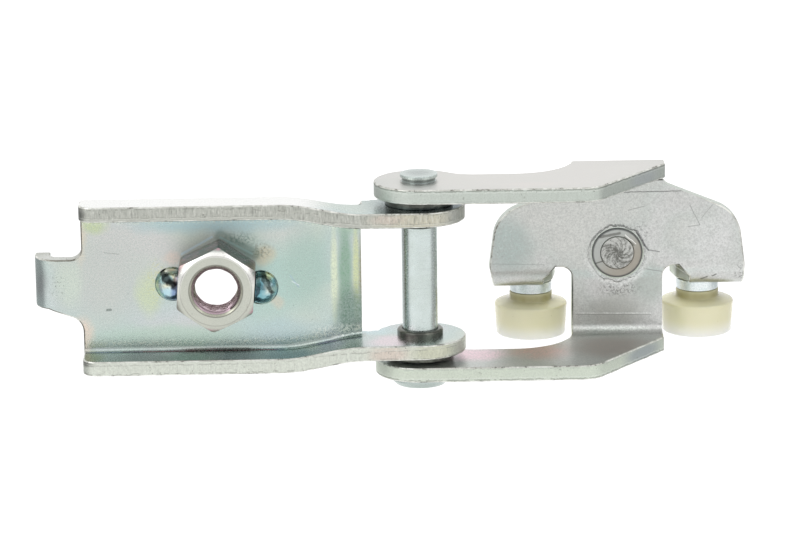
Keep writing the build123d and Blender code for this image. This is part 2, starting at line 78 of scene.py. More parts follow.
class Finish:
    # one material or world; node() makes every node that isn't plain arithmetic
    def __init__(self, name=None, world=None):
        self.owner = world or bpy.data.materials.new(name)
        self.owner.use_nodes = True
        self.tree = self.owner.node_tree
        self.tree.nodes.clear()

    def node(self, kind, settings=None, inputs=None, output=0):
        made = self.tree.nodes.new(kind)
        for key, value in (settings or {}).items():
            if key == "stops":
                elements = made.color_ramp.elements
                while len(elements) < len(value):
                    elements.new(0.5)
                for element, (position, shade) in zip(elements, value):
                    element.position = position
                    element.color = (*shade, 1)
            else:
                setattr(made, key, value)
        for key, value in (inputs or {}).items():
            if isinstance(value, Wire):
                self.tree.links.new(value.socket, made.inputs[key])
            elif value is not None:
                wide = made.inputs[key].type == "RGBA" and len(value) == 3
                made.inputs[key].default_value = (*value, 1) if wide else value
        return Wire(self, made.outputs[output]) if made.outputs else made

    def place(self):
        # position in the frame, in millimetres
        spot = self.node("ShaderNodeTexCoord", output="Object")
        return self.node("ShaderNodeVectorMath", {"operation": "SCALE"}, {0: spot, "Scale": 1 / mm})

    def axes(self, vector):
        split = self.node("ShaderNodeSeparateXYZ", inputs={0: vector})
        outputs = split.socket.node.outputs
        return [Wire(self, outputs[i]) for i in range(3)]

    def stretch(self, vector, factors):
        return self.node("ShaderNodeVectorMath", {"operation": "MULTIPLY"}, {0: vector, 1: factors})

    def shift(self, vector, offset):
        return self.node("ShaderNodeVectorMath", {"operation": "ADD"}, {0: vector, 1: offset})

    def distance(self, vector, point):
        return self.node("ShaderNodeVectorMath", {"operation": "DISTANCE"}, {0: vector, 1: point}, "Value")

    def size(self, value):
        # how far from 0
        return self.node("ShaderNodeMath", {"operation": "ABSOLUTE"}, {0: value})

    def noise(self, vector, scale, detail=2.0, roughness=0.5):
        return self.node("ShaderNodeTexNoise", None, {"Vector": vector, "Scale": scale, "Detail": detail,
                                                      "Roughness": roughness})

    def drift(self, vector, scale, reach):
        # the same place, moved about by a noise round its middle of 0.5, for outlines that aren't regular
        cloud = self.node("ShaderNodeTexNoise", None,
                          {"Vector": vector, "Scale": scale, "Detail": brush["driftDetail"]}, "Color")
        centred = self.shift(cloud, (-0.5, -0.5, -0.5))
        return self.node("ShaderNodeVectorMath", {"operation": "MULTIPLY_ADD"},
                         {0: centred, 1: (2 * reach,) * 3, 2: vector})

    def step(self, value, low, high):
        # 0 below low, 1 above high, eased between
        return self.node("ShaderNodeMapRange", {"interpolation_type": "SMOOTHSTEP"},
                         {"Value": value, "From Min": low, "From Max": high, "To Min": 0.0, "To Max": 1.0})

    def bump(self, value, middle, half):
        # 1 at the middle, 0 beyond half to either side
        return 1 - self.step(self.size(value - middle), 0.0, half)

    def blot(self, spot, middle, reach):
        # a soft patch: 1 around the middle, 0 from its reach along each axis
        centred = self.shift(spot, [-part for part in middle])
        scaled = self.stretch(centred, [1 / part for part in reach])
        away = self.node("ShaderNodeVectorMath", {"operation": "LENGTH"}, {0: scaled}, "Value")
        return 1 - self.step(away, brush["patchCore"], 1.0)

    def stroke(self, spot, start, end, half):
        # 1 on the line from start to end, 0 beyond half to either side
        run = Vector(end) - Vector(start)
        fromStart = self.shift(spot, -Vector(start))
        along = self.node("ShaderNodeVectorMath", {"operation": "DOT_PRODUCT"}, {0: fromStart, 1: run}, "Value")
        share = self.node("ShaderNodeMath", {"operation": "MULTIPLY", "use_clamp": True},
                          {0: along, 1: 1 / run.length_squared})
        foot = self.node("ShaderNodeVectorMath", {"operation": "SCALE"}, {0: run, "Scale": share})
        return 1 - self.step(self.distance(fromStart, foot), half * brush["strokeCore"], half)

    def mix(self, factor, first, second):
        # a Mix node's colours go in at 6 and 7 and come out at 2
        return self.node("ShaderNodeMix", {"data_type": "RGBA"}, {0: factor, 6: first, 7: second}, 2)

    def ramp(self, value, stops):
        return self.node("ShaderNodeValToRGB", {"stops": stops}, {0: value})

    def paint(self, shade, spot, tints):
        # each tint: its middle, its reach along each axis, its colour and strength
        for middle, reach, colour, strength in tints.values():
            shade = self.mix(self.blot(spot, middle, reach) * strength, shade, colour)
        return shade

    def score(self, shade, spot, strokes):
        # each stroke: its start and end, half its width, its colour and strength
        for start, end, half, colour, strength in strokes.values():
            shade = self.mix(self.stroke(spot, start, end, half) * strength, shade, colour)
        return shade

    def relief(self, height, depth):
        # depth in millimetres
        return self.node("ShaderNodeBump", None, {"Strength": 1.0, "Distance": depth * mm, "Height": height})

    def shade(self, **sockets):
        named = {key.replace("_", " "): value for key, value in sockets.items()}
        surface = self.node("ShaderNodeBsdfPrincipled", None, named)
        self.node("ShaderNodeOutputMaterial", None, {"Surface": surface})
        return self.owner


def srgb(*levels):
    # 0 to 255 as seen on a screen, to the linear values that nodes use
    return tuple((v / 255 / 12.92) if v < 10.4 else ((v / 255 + 0.055) / 1.055) ** 2.4 for v in levels)


# Meshes: each piece starts from its CAD node and gets its edges and surface
weldDistance = 0.002 * mm
smoothAngle = 35  # degrees; edges that turn more than this stay sharp
bevelSteps = 3


def nodeMesh(node):
    work = bmesh.new()
    work.from_mesh(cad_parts[node].data)
    bmesh.ops.remove_doubles(work, verts=work.verts, dist=weldDistance)
    return work


def addPiece(name, work, body, finishes, nodes, sharp=smoothAngle):
    mesh = bpy.data.meshes.new(name)
    work.to_mesh(mesh)
    work.free()
    piece = bpy.data.objects.new(name, mesh)
    scene.collection.objects.link(piece)
    for finish in finishes:
        mesh.materials.append(finish)
    mesh.shade_smooth()
    mesh.set_sharp_from_angle(angle=radians(sharp))
    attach(piece, body)
    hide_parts(*nodes)
    return piece


def roundEdges(piece, width, angle=30):
    bevel = piece.modifiers.new("roundEdges", "BEVEL")
    bevel.width = width * mm
    bevel.segments = bevelSteps
    bevel.limit_method = "ANGLE"
    bevel.angle_limit = radians(angle)
    bevel.harden_normals = False
    weighted = piece.modifiers.new("evenNormals", "WEIGHTED_NORMAL")
    weighted.keep_sharp = True
    piece.data.set_sharp_from_angle(angle=pi)  # no edge stays sharp, as its bevel carries the turn


# Sheet metal: faces with the sheet's thickness behind them are its surfaces, the rest are cut edges
sheetLook = {"thickness": 3.2, "tolerance": 0.15, "flat": 0.6, "rimRound": 0.3, "rimSteps": 3, "rimAngle": 30,
             "shortest": 0.08, "rimStep": 0.6, "rimWear": 0.1, "wearScale": 0.7, "inside": 0.01}
surfaceSlot, edgeSlot, rimSlot = 0, 1, 2  # a pressing's material slots


def rimEdges(work, clean):
    # edges between a surface and a cut edge, apart from those near a place that stays clean
    return [edge for edge in work.edges
            if len({face.material_index for face in edge.link_faces}) == 2
            and edge.calc_face_angle(0) > radians(sheetLook["rimAngle"])
            and all((edge.verts[0].co / mm - Vector(point)).length > reach for point, reach in clean)]


def roundRims(work, nicks, clean):
    # rims in short steps, rounded, and then worn unevenly between their two borders
    byCuts = {}
    for edge in rimEdges(work, clean):
        cuts = ceil(edge.calc_length() / (sheetLook["rimStep"] * mm)) - 1
        byCuts.setdefault(cuts, []).append(edge)
    for cuts, edges in byCuts.items():
        if cuts:
            bmesh.ops.bisect_edges(work, edges=edges, cuts=cuts)
    shape = BVHTree.FromBMesh(work)
    bmesh.ops.bevel(work, geom=rimEdges(work, clean), offset=sheetLook["rimRound"] * mm, offset_type="OFFSET",
                    segments=sheetLook["rimSteps"], profile=0.5, affect="EDGES", clamp_overlap=False,
                    material=rimSlot)
    work.normal_update()
    moved = {}
    for vertex in work.verts:
        if shape.find_nearest(vertex.co)[3] > sheetLook["rimRound"] * mm:
            # a corner that the bevel threw out goes back between its neighbours
            around = [edge.other_vert(vertex).co for edge in vertex.link_edges]
            moved[vertex] = shape.find_nearest(sum(around, Vector()) / len(around))[0]
        elif all(face.material_index == rimSlot for face in vertex.link_faces):
            spot = vertex.co / mm
            wear = max(0.0, noise.noise(spot * sheetLook["wearScale"])) * sheetLook["rimWear"]
            for point, reach, depth in nicks:
                wear += depth * max(0.0, 1 - (spot - Vector(point)).length / reach)
            moved[vertex] = vertex.co - vertex.normal * wear * mm
    for vertex, place in moved.items():
        vertex.co = place


def sheetPiece(name, node, body, slot, finishes, innerPoint, nicks, clean):
    work = nodeMesh(node)
    tree = BVHTree.FromBMesh(work)
    work.faces.ensure_lookup_table()
    for face in work.faces:
        start = face.calc_center_median() - face.normal * sheetLook["inside"] * mm
        depth = tree.ray_cast(start, -face.normal)[3]
        isSurface = depth and abs(depth / mm - sheetLook["thickness"]) < sheetLook["tolerance"]
        face.material_index = surfaceSlot if isSurface else edgeSlot
    # everything joined to the face at innerPoint without crossing a cut edge is the inner surface
    inner = {work.faces[tree.find_nearest(Vector(innerPoint) * mm)[2]]}
    edgeOfInner = list(inner)
    while edgeOfInner:
        face = edgeOfInner.pop()
        for edge in face.edges:
            for other in edge.link_faces:
                if other.material_index == surfaceSlot and other not in inner:
                    inner.add(other)
                    edgeOfInner.append(other)
    through = work.loops.layers.uv.new("through")  # 0 at the inner surface, 1 at the outer
    for face in work.faces:
        for loop in face.loops:
            touchesInner = any(other in inner for other in loop.vert.link_faces)
            loop[through].uv = (0.0 if touchesInner else 1.0, 0.0)
    bmesh.ops.dissolve_limit(work, angle_limit=radians(sheetLook["flat"]), verts=work.verts,
                             edges=work.edges, delimit={"MATERIAL"})
    bmesh.ops.dissolve_degenerate(work, dist=sheetLook["shortest"] * mm, edges=work.edges)
    roundRims(work, nicks, clean)
    piece = addPiece(name, work, body, finishes, [node])
    piece.modifiers.new("evenNormals", "WEIGHTED_NORMAL").keep_sharp = True
    return piece


# Clear zinc on the pressings: a film that turns from grey to green, blue and pink. Here and below, a noise
# is its scale, detail and roughness, a drift its scale and reach, and a range where a mask starts and is full
zincShared = {
    "loose": (0.22, 1.3), "near": (0.9, 0.12), "grain": (2.6, 3.0, 0.8), "grainBase": 0.3, "grainGloss": 0.2,
    "fleck": (1.7, 2.0, 0.85), "fleckRange": (0.62, 0.7), "fleckSpread": 0.2,
    "rowRange": (0.46, 0.58), "rowStrength": 0.6, "rowHeight": 0.6,
    "pits": (1.1, 3.0, 0.8), "pitRange": (0.66, 0.73), "pitStrength": 0.4, "pitHeight": 0.8,
    "scratch": (1.3, 2.0, 0.7), "scratchStretch": (0.25, 1.0, 2.6), "scratchHeight": 0.5,
}


def zincFilm(name, look):
    settings = {**zincShared, **look}
    finish = Finish(name)
    spot = finish.place()
    x, y, z = finish.axes(spot)
    loose = finish.drift(spot, *settings["loose"])
    near = finish.drift(spot, *settings["near"])
    cloud = finish.noise(loose, settings["cloudScale"])
    grain = finish.noise(spot, *settings["grain"])
    fleck = finish.noise(spot, *settings["fleck"])
    shade = finish.ramp(cloud, settings["film"])
    shade = finish.paint(shade, loose, settings["tints"])
    shade = finish.paint(shade, near, settings["bands"])
    # marks in flecks: weld heat, galled spots, painted shade above the nut, and the die's row along each long
    # fold
    for middle, reach, colour, strength, share in settings["flecked"].values():
        low, high = (level - share * settings["fleckSpread"] for level in settings["fleckRange"])
        flecks = finish.step(fleck, low, high)
        shade = finish.mix(finish.blot(near, middle, reach) * flecks * strength, shade, colour)
    fromFold = finish.size(z)
    if "foldStep" in settings:
        fromFold = fromFold + finish.step(x, *settings["foldRun"]) * settings["foldStep"]
    row = finish.bump(fromFold, settings["foldAt"], settings["foldReach"])
    row = row * finish.step(y, *settings["foldDepth"]) * finish.step(fleck, *settings["rowRange"])
    shade = finish.mix(row * settings["rowStrength"], shade, settings["rowLight"])
    shade = finish.score(shade, near, settings["marks"])
    pits = finish.step(finish.noise(spot, *settings["pits"]), *settings["pitRange"])
    scratch = finish.noise(finish.stretch(spot, settings["scratchStretch"]), *settings["scratch"])
    height = grain + (scratch - 0.5) * settings["scratchHeight"] - pits * settings["pitHeight"]
    height = height + row * settings["rowHeight"]
    if "stake" in settings:
        # a lip of metal pushed up round a staked end, with painted shade above it and a painted highlight below
        stake = settings["stake"]
        away = finish.distance(finish.stretch(spot, acrossFace), stake["at"])
        away = away + (finish.noise(spot, *stake["wander"]) - 0.5) * stake["wanderReach"]
        lip = finish.bump(away, stake["rim"], stake["lipHalf"])
        above = finish.step(z, *stake["lipRange"])
        shade = finish.mix(lip * above * stake["lipStrength"], shade, stake["lipShade"])
        below = 1 - finish.step(z, *stake["glowRange"])
        glow = finish.bump(away, stake["rim"] + stake["glowOut"], stake["glowHalf"]) * below
        shade = finish.mix(glow * stake["glowStrength"], shade, stake["lipHighlight"])
        height = height + lip * stake["lipHeight"]
    shade = finish.mix(pits * settings["pitStrength"], shade, settings["pit"])
    sparkle = settings["grainBase"] + (0.5 - grain) * settings["grainStrength"]
    shade = finish.mix(sparkle, shade, settings["grainDark"])
    # top faces painted last with their light, a painted highlight or painted shade, over the grain
    shade = finish.paint(shade, spot, settings["tops"])
    # painted glints: reflections and shade painted on last
    shade = finish.score(shade, near, settings["paintedGlints"])
    middle, reach, dulling = settings["dull"]
    roughness = settings["roughness"] + (grain - 0.5) * settings["grainGloss"]
    roughness = roughness + finish.blot(spot, middle, reach) * dulling
    return finish.shade(Base_Color=shade, Metallic=1.0, Roughness=roughness,
                        Normal=finish.relief(height, settings["grainDepth"]))


# Cut edges: a smooth band, a torn line and fine marks across the sheet
shearShared = {
    "streak": (1.0, 3.0, 0.75), "streakStretch": (3.2, 3.2, 0.5), "darkRange": (0.5, 0.68),
    "lightRange": (0.48, 0.34), "coarse": (0.5, 3.0, 0.7), "coarseGloss": 0.3, "roughness": 0.42,
    "grain": (2.8, 3.0, 0.8), "grainBase": 0.25, "grainStrength": 0.9, "grainHeight": 0.6,
    "wander": (1.0, 3.0, 0.7), "wanderStretch": (0.5, 0.5, 0.1), "near": (0.7, 0.5),
    "lowerToUpper": (-6.0, 6.0), "deepWander": 0.2, "deepRange": (0.2, 0.26), "roughUpwards": (-8.0, 8.0),
    "roughBelow": 0.4, "lineWander": 0.22, "lineRange": (0.62, 0.68), "lineSpread": 0.3,
    "chips": (1.3, 2.0, 0.8), "chipRange": (0.67, 0.72), "chipStrength": 0.6,
}


def shearedEdge(name, look):
    settings = {**shearShared, **look}
    finish = Finish(name)
    spot = finish.place()
    z = finish.axes(spot)[2]
    through = finish.axes(finish.node("ShaderNodeUVMap", {"uv_map": "through"}))[0]
    streak = finish.noise(finish.stretch(spot, settings["streakStretch"]), *settings["streak"])
    coarse = finish.noise(spot, *settings["coarse"])
    grain = finish.noise(spot, *settings["grain"])
    wander = finish.noise(finish.stretch(spot, settings["wanderStretch"]), *settings["wander"])
    near = finish.drift(spot, *settings["near"])
    shade = finish.mix(finish.step(z, *settings["lowerToUpper"]), settings["lower"], settings["upper"])
    shade = finish.paint(shade, near, settings["tints"])
    deep = finish.step(through + (wander - 0.5) * settings["deepWander"], *settings["deepRange"])
    upwards = finish.step(z, *settings["roughUpwards"]) * (1 - settings["roughBelow"]) + settings["roughBelow"]
    rough = deep * upwards * settings["streaked"]
    shade = finish.mix(finish.step(streak, *settings["darkRange"]) * rough, shade, settings["streakDark"])
    shade = finish.mix(finish.step(streak, *settings["lightRange"]) * rough, shade, settings["streakLight"])
    for at, half, colour, strength, share in settings["lines"].values():
        low, high = (level - share * settings["lineSpread"] for level in settings["lineRange"])
        line = finish.bump(through + (wander - 0.5) * settings["lineWander"], at, half)
        shade = finish.mix(line * finish.step(coarse, low, high) * strength, shade, colour)
    chips = finish.step(finish.noise(spot, *settings["chips"]), *settings["chipRange"])
    shade = finish.mix(chips * settings["chipStrength"], shade, settings["chip"])
    sparkle = settings["grainBase"] + (0.5 - grain) * settings["grainStrength"]
    shade = finish.mix(sparkle, shade, settings["streakDark"])
    height = streak * deep * settings["streaked"] + grain * settings["grainHeight"] - chips
    return finish.shade(Base_Color=shade, Metallic=1.0,
                        Roughness=settings["roughness"] + (coarse - 0.5) * settings["coarseGloss"],
                        Normal=finish.relief(height, settings["depth"]))


# The rounded rims: bright streaks, partly rubbed metal and partly a painted broken highlight, and dark where
# they chipped
def wornRim(name, settings):
    finish = Finish(name)
    spot = finish.place()
    broken = finish.noise(spot, *settings["broken"])
    grain = finish.noise(spot, *settings["grain"])
    shade = finish.mix(finish.step(broken, *settings["rubbedAndHighlit"]), settings["bright"], settings["plain"])
    shade = finish.paint(shade, finish.drift(spot, *settings["near"]), settings["tints"])
    chip = finish.step(broken + (grain - 0.5) * settings["chipGrain"], *settings["chipRange"])
    shade = finish.mix(chip * settings["chip"], shade, settings["chipShade"])
    return finish.shade(Base_Color=shade, Metallic=1.0,
                        Roughness=settings["roughness"] + chip * settings["chipGloss"],
                        Normal=finish.relief(grain - chip, settings["depth"]))


bracketLook = {
    "cloudScale": 0.035,
    "film": ((0.38, srgb(208, 206, 204)), (0.47, srgb(202, 210, 200)), (0.54, srgb(190, 206, 202)),
             (0.62, srgb(200, 206, 208)), (0.7, srgb(210, 207, 207))),
    "tints": {
        "leftGrey": ((-24, 0, 1), (16, 4, 14), srgb(198, 199, 196), 0.85),
        "leftGreen": ((-31, 0, 0), (4, 5, 7), srgb(206, 216, 202), 0.7),
        "middle": ((8, 0, 0), (21, 3, 12), srgb(172, 202, 194), 0.9),
        # blueTop: the film's blue, with painted shade under the upper flange
        "blueTop": ((0, 0, 13.5), (27, 3.5, 4.5), srgb(166, 194, 200), 0.9),
        "greenCorner": ((-25.5, 0, 12.6), (4, 3, 3), srgb(194, 206, 160), 0.9),
        "pinkCorner": ((-28.6, 0, 9), (2.0, 3, 7), srgb(220, 208, 188), 0.8),
        "leftHalo": ((-14.4, 0, -2.5), (3.8, 3, 6.5), srgb(204, 214, 170), 0.7),
        "peachCorner": ((-28.6, 0, -11.5), (3.4, 3, 5.5), srgb(230, 208, 192), 0.9),
        "greenFoot": ((-10, 0, -12), (22, 3.5, 4), srgb(182, 206, 190), 0.8),
        "blueFoot": ((14, 0, -11), (12, 3.5, 4), srgb(180, 202, 206), 0.6),
        "greenRight": ((19, 0, 3), (7.0, 3, 12), srgb(168, 194, 184), 0.85),
        "peachLeft": ((-9.2, 0, 5.4), (2.6, 2.5, 2.0), srgb(222, 198, 184), 0.6),
        "peachRight": ((10.0, 0, 5.4), (3.4, 2.5, 2.8), srgb(212, 186, 146), 0.55),
        "peachUnder": ((12.5, 0, -4.6), (2.6, 2.5, 2.0), srgb(220, 196, 172), 0.5),
        # painted shade on the hook's bend
        "hookBendShade": ((-36.6, 3, 0), (2.4, 4, 6.5), srgb(150, 152, 152), 0.75),
        # the lower flange's floor: film colours darkened by painted shade and painted reflection of the web
        # behind it
        "floorGreen": ((-26.5, -5, -15), (3.5, 6, 2.2), srgb(170, 184, 140), 0.85),
        "floorMauve": ((-15, -5, -15), (9, 6, 2.2), srgb(154, 156, 164), 0.85),
        "floorTeal": ((-5.5, -5, -15), (7, 6, 2.2), srgb(128, 164, 154), 0.85),
        "floorViolet": ((4, -5, -15), (7, 6, 2.2), srgb(118, 138, 152), 0.9),
        "floorBlue": ((15, -5, -15), (9, 6, 2.2), srgb(116, 156, 164), 0.85),
        "earViolet": ((24, -4, -14), (5, 7, 2), srgb(168, 172, 196), 0.6),
        "earPink": ((37, -4, -12.7), (7, 7, 2), srgb(236, 210, 220), 0.8),
        "earBlue": ((33, 5, -12.7), (6, 5, 2), srgb(196, 222, 228), 0.7),
    },
    # a painted highlight on the flange tops, and painted shade on the ear tops under the arm
    "tops": {
        "flangeTopHighlight": ((0, -3, 18.6), (90, 40, 2.4), srgb(240, 240, 238), 0.95),
        "earTopShade": ((44, 0, 15.9), (16, 16, 1), srgb(116, 134, 142), 0.95),
    },
    "bands": {
        "lineTop": ((0, 0.3, 14.4), (34, 1.4, 0.8), srgb(214, 218, 196), 0.5),
        "cornerShade": ((28, 0.8, 11.5), (4, 3, 3.4), srgb(170, 196, 170), 0.6),
        "firstBand": ((24.8, 0.4, 1), (1.1, 3, 14), srgb(222, 230, 200), 0.9),
        "afterFirst": ((27.1, 0.8, 1), (2.1, 4, 16), srgb(134, 166, 144), 1.0),
        "secondBand": ((29.4, 1.4, 1), (1.0, 3, 15), srgb(206, 212, 160), 0.9),
        "brownEnd": ((30.9, 2, 0), (1.3, 4, 17), srgb(124, 112, 76), 0.95),
        "lowRight": ((28.2, 1, -7.5), (5.0, 4, 8), srgb(100, 126, 112), 0.9),
    },
    "flecked": {
        # painted shade above the nut, broken into flecks
        "nutShadeFlecks": ((5.0, 0, 9.0), (5.0, 3, 2.2), srgb(84, 122, 114), 0.6, 0.75),
        "heatSide": ((9.5, 0, 6.5), (3, 3, 2.4), srgb(96, 90, 66), 0.7, 0.6),
        "heatLeft": ((-12.5, 0, 0), (3, 3, 6.5), srgb(206, 204, 140), 0.6, 0.6),
        "foldWear": ((25, 0, -11.4), (8, 4, 2.2), srgb(226, 234, 226), 0.8, 0.8),
        "hookPits": ((-33.5, 0.5, -0.5), (2.4, 4, 4.5), srgb(96, 98, 92), 0.7, 0.25),
    },
    # the fold's row is where |z| is foldAt, less foldStep past the joggle
    "foldRun": (13.2, 31.3), "foldStep": 2.3, "foldAt": 13.3, "foldReach": 1.2, "foldDepth": (-0.9, -0.3),
    "rowLight": srgb(226, 232, 214),
    "marks": {
        "dent": ((-23.2, 0, -5.9), (-22.5, 0, -5.85), 0.4, srgb(96, 104, 98), 0.8),
        "scrapeLeft": ((-23.5, 0, 6.6), (-20.5, 0, 6.2), 0.12, srgb(130, 130, 126), 0.6),
        "scrapeRight": ((15.5, 0, 1.0), (17.2, 0, -1.6), 0.2, srgb(160, 184, 200), 0.7),
        "scrapeShort": ((15.8, 0, -0.3), (17.4, 0, -1.2), 0.14, srgb(216, 226, 230), 0.8),
        "pressFirst": ((24.3, 0.4, 1.4), (25.0, 0.4, -0.8), 0.16, srgb(120, 120, 110), 0.7),
        "pressSecond": ((25.4, 0.4, 1.2), (24.9, 0.4, -2.2), 0.14, srgb(120, 120, 110), 0.6),
        "cornerFold": ((-20, -0.8, -14.85), (12, -0.8, -14.85), 0.4, srgb(140, 60, 84), 0.9),
        "cornerLeft": ((-28, -0.8, -14.85), (-16, -0.8, -14.85), 0.3, srgb(110, 120, 168), 0.7),
        "joggleFold": ((12, -0.8, -14.85), (30, -0.6, -12.7), 0.4, srgb(120, 100, 150), 0.7),
        "step": ((32.2, 8.5, -12.7), (33.7, 8.4, -12.7), 0.5, srgb(60, 62, 60), 0.8),
    },
    # painted reflection of the nut in the web: a pale line along each upper side, with painted shade above
    "paintedGlints": {
        "nutReflectionLeft": ((-7.2, 0, 6.0), (-0.8, 0, 9.6), 0.36, srgb(206, 228, 240), 0.5),
        "nutShade": ((1.0, 0, 9.8), (8.2, 0, 5.8), 1.7, srgb(96, 122, 112), 0.45),
        "nutReflectionRight": ((1.0, 0, 9.5), (7.6, 0, 5.8), 0.3, srgb(168, 206, 206), 0.4),
    },
    "pit": srgb(112, 118, 114), "grainStrength": 2.0, "grainDark": srgb(164, 176, 172),
    "roughness": 0.26, "dull": ((0, 0, 7), (15, 4, 11), 0.2), "grainDepth": 0.022,
}
carriageLook = {
    "cloudScale": 0.06,
    "film": ((0.36, srgb(214, 215, 211)), (0.47, srgb(207, 211, 207)), (0.55, srgb(215, 216, 214)),
             (0.62, srgb(211, 211, 209)), (0.7, srgb(217, 219, 216))),
    "tints": {
        "leftWing": ((62.5, 18.3, 2), (7, 3, 9), srgb(178, 192, 188), 0.9),
        "rightWing": ((106, 18.3, 3), (8, 3, 7), srgb(226, 227, 226), 0.6),
        "stemLow": ((86, 18.3, -12.5), (8, 3, 5.5), srgb(184, 186, 180), 0.85),
        "stemRight": ((92.5, 18.3, -7), (5, 3, 7), srgb(182, 190, 184), 0.85),
        "wingLow": ((85.9, 18.6, -4.4), (30, 2, 1.5), srgb(200, 214, 210), 0.5),
        "armPink": ((66, -4, 20.8), (9, 3, 1), srgb(240, 218, 216), 0.5),
        "innerPink": ((54, 2, -17.6), (10, 7, 1.5), srgb(254, 222, 232), 0.85),
        "innerMauve": ((68, 4, -17.6), (9, 9, 1.5), srgb(230, 190, 188), 0.8),
        "innerBrown": ((84, 6, -17.6), (13, 12, 1.5), srgb(184, 170, 162), 0.8),
    },
    # the arm tops painted to their lit brightness
    "tops": {
        "armTopLight": ((70, 3, 21.2), (60, 40, 2.0), srgb(216, 214, 210), 0.8),
    },
    "bands": {
        "footBand": ((85.9, 18.0, -16.9), (11, 1.5, 0.7), srgb(222, 228, 222), 0.8),
    },
    "flecked": {
        "galled": ((86.4, 18.3, -7.9), (6.5, 2, 2.4), srgb(110, 110, 106), 0.75, 0.65),
        "leftWorn": ((62, 18.3, 3), (5, 2, 7), srgb(226, 232, 230), 0.4, 0.3),
        "tipWorn": ((112.6, 18.8, -4.6), (2.4, 3, 2.8), srgb(104, 106, 102), 0.85, 0.6),
        "rivetWorn": ((91.0, 18.3, 4.5), (3.2, 2, 3.2), srgb(120, 122, 122), 0.6, 0.45),
        "eyeWorn": ((43, 3, 20.8), (8, 8, 1), srgb(190, 186, 180), 0.5, 0.5),
    },
    "foldAt": 16.6, "foldReach": 0.7, "foldDepth": (17.2, 17.8), "rowLight": srgb(240, 243, 240),
    "marks": {
        "toolLine": ((87.4, 18.3, 13.4), (100.2, 18.3, 13.5), 0.17, srgb(84, 86, 84), 0.8),
        "press": ((77.0, 18.3, -13.3), (93.2, 18.3, -13.6), 0.22, srgb(240, 242, 240), 0.7),
        "pressUnder": ((77.0, 18.3, -13.6), (93.2, 18.3, -13.9), 0.14, srgb(120, 122, 118), 0.5),
        "foot": ((76.5, 18.0, -17.4), (95, 18.0, -17.6), 0.22, srgb(70, 72, 70), 0.8),
        "scrapeHigh": ((101.5, 18.3, 10.3), (103.7, 18.3, 5.9), 0.14, srgb(128, 130, 128), 0.6),
        "scrapeTurn": ((103.7, 18.3, 5.9), (101.2, 18.3, 5.6), 0.13, srgb(128, 130, 128), 0.6),
        "scrapeLong": ((104, 18.3, 7.4), (107.5, 18.3, 11.6), 0.12, srgb(140, 142, 140), 0.6),
        "scrapeFine": ((88.2, 18.3, 9.4), (91.6, 18.3, 10.2), 0.12, srgb(110, 112, 110), 0.6),
        # painted shade along the creases of the wrinkles round the staked end
        "wrinkleHigh": ((90.2, 18.3, 4.4), (91.8, 18.3, 1.6), 0.34, srgb(84, 86, 88), 0.8),
        "wrinkleTurn": ((91.8, 18.3, 1.6), (92.6, 18.3, 0.5), 0.28, srgb(84, 86, 88), 0.8),
        "wrinkleOut": ((92.6, 18.3, 0.5), (95.0, 18.3, 0.1), 0.2, srgb(96, 98, 98), 0.7),
        "wrinkleLow": ((91.6, 18.3, -3.6), (96.0, 18.3, -4.4), 0.16, srgb(120, 122, 120), 0.6),
        "gougeFirst": ((104.2, 19.7, -6.5), (105.4, 19.2, -5.9), 0.3, srgb(78, 80, 76), 0.85),
        "gougeSecond": ((106.6, 19.1, -5.7), (107.3, 18.9, -5.3), 0.3, srgb(78, 80, 76), 0.85),
    },
    # a painted glint line along the wing
    "paintedGlints": {
        "tipLine": ((58.9, 18.3, -2.0), (70, 18.3, -2.4), 0.12, srgb(130, 136, 134), 0.4),
    },
    # the lip round the staked end: painted shade above it and a painted highlight below
    "stake": {"at": (85.9, 0, 0), "rim": 6.1, "wander": (0.55, 3.0, 0.7), "wanderReach": 1.6,
              "lipHalf": 0.34, "lipRange": (0.5, 3.5), "lipStrength": 0.8, "lipHeight": 6,
              "glowOut": 0.5, "glowHalf": 1.3, "glowRange": (-2.5, 1.0), "glowStrength": 0.6,
              "lipShade": srgb(96, 98, 98), "lipHighlight": srgb(240, 241, 239)},
    "pit": srgb(104, 106, 104), "grainStrength": 2.2, "grainDark": srgb(166, 168, 165),
    "roughness": 0.38, "dull": ((85.9, 18.3, 0), (10, 4, 10), 0.08), "grainDepth": 0.028,
}
bracketEdgeLook = {
    "lower": srgb(226, 231, 220), "upper": srgb(196, 198, 190),
    "tints": {
        # painted shade on the rounded left ends of both flanges
        "leftUpperShade": ((-28, -6.0, 16.5), (2.6, 3.2, 2.4), srgb(104, 106, 102), 0.9),
        "leftLowerShade": ((-27.4, -6.3, -15.6), (3.2, 3, 1.0), srgb(104, 106, 100), 0.9),
        "webEnd": ((30.5, 2.5, 0), (1.5, 4, 17), srgb(132, 116, 82), 0.8),
        "earUpper": ((42, -8, 14.3), (13, 4, 3), srgb(216, 210, 188), 0.8),
        "earUpperPink": ((36, -8, 14.6), (5, 4, 1.4), srgb(224, 206, 198), 0.5),
        "earLowerPink": ((36, -8, -14.5), (6, 4, 3), srgb(228, 208, 196), 0.7),
        "earLower": ((46, -8, -14.3), (8, 6, 3), srgb(208, 208, 180), 0.7),
        # painted light on the hook's upward cut face
        "hookTopLight": ((-34, 2, 5.1), (6, 6, 0.8), srgb(228, 230, 226), 0.8),
    },
    "lines": {
        "smoothEnd": (0.22, 0.05, srgb(226, 228, 220), 0.5, 1.0),
        "tornStart": (0.28, 0.04, srgb(130, 130, 122), 0.5, 0.6),
        "outerBreak": (0.86, 0.06, srgb(128, 128, 118), 0.5, 0.5),
    },
    "streaked": 0.6, "streakDark": srgb(134, 136, 130), "streakLight": srgb(226, 227, 220),
    "chip": srgb(92, 92, 84), "depth": 0.05,
}
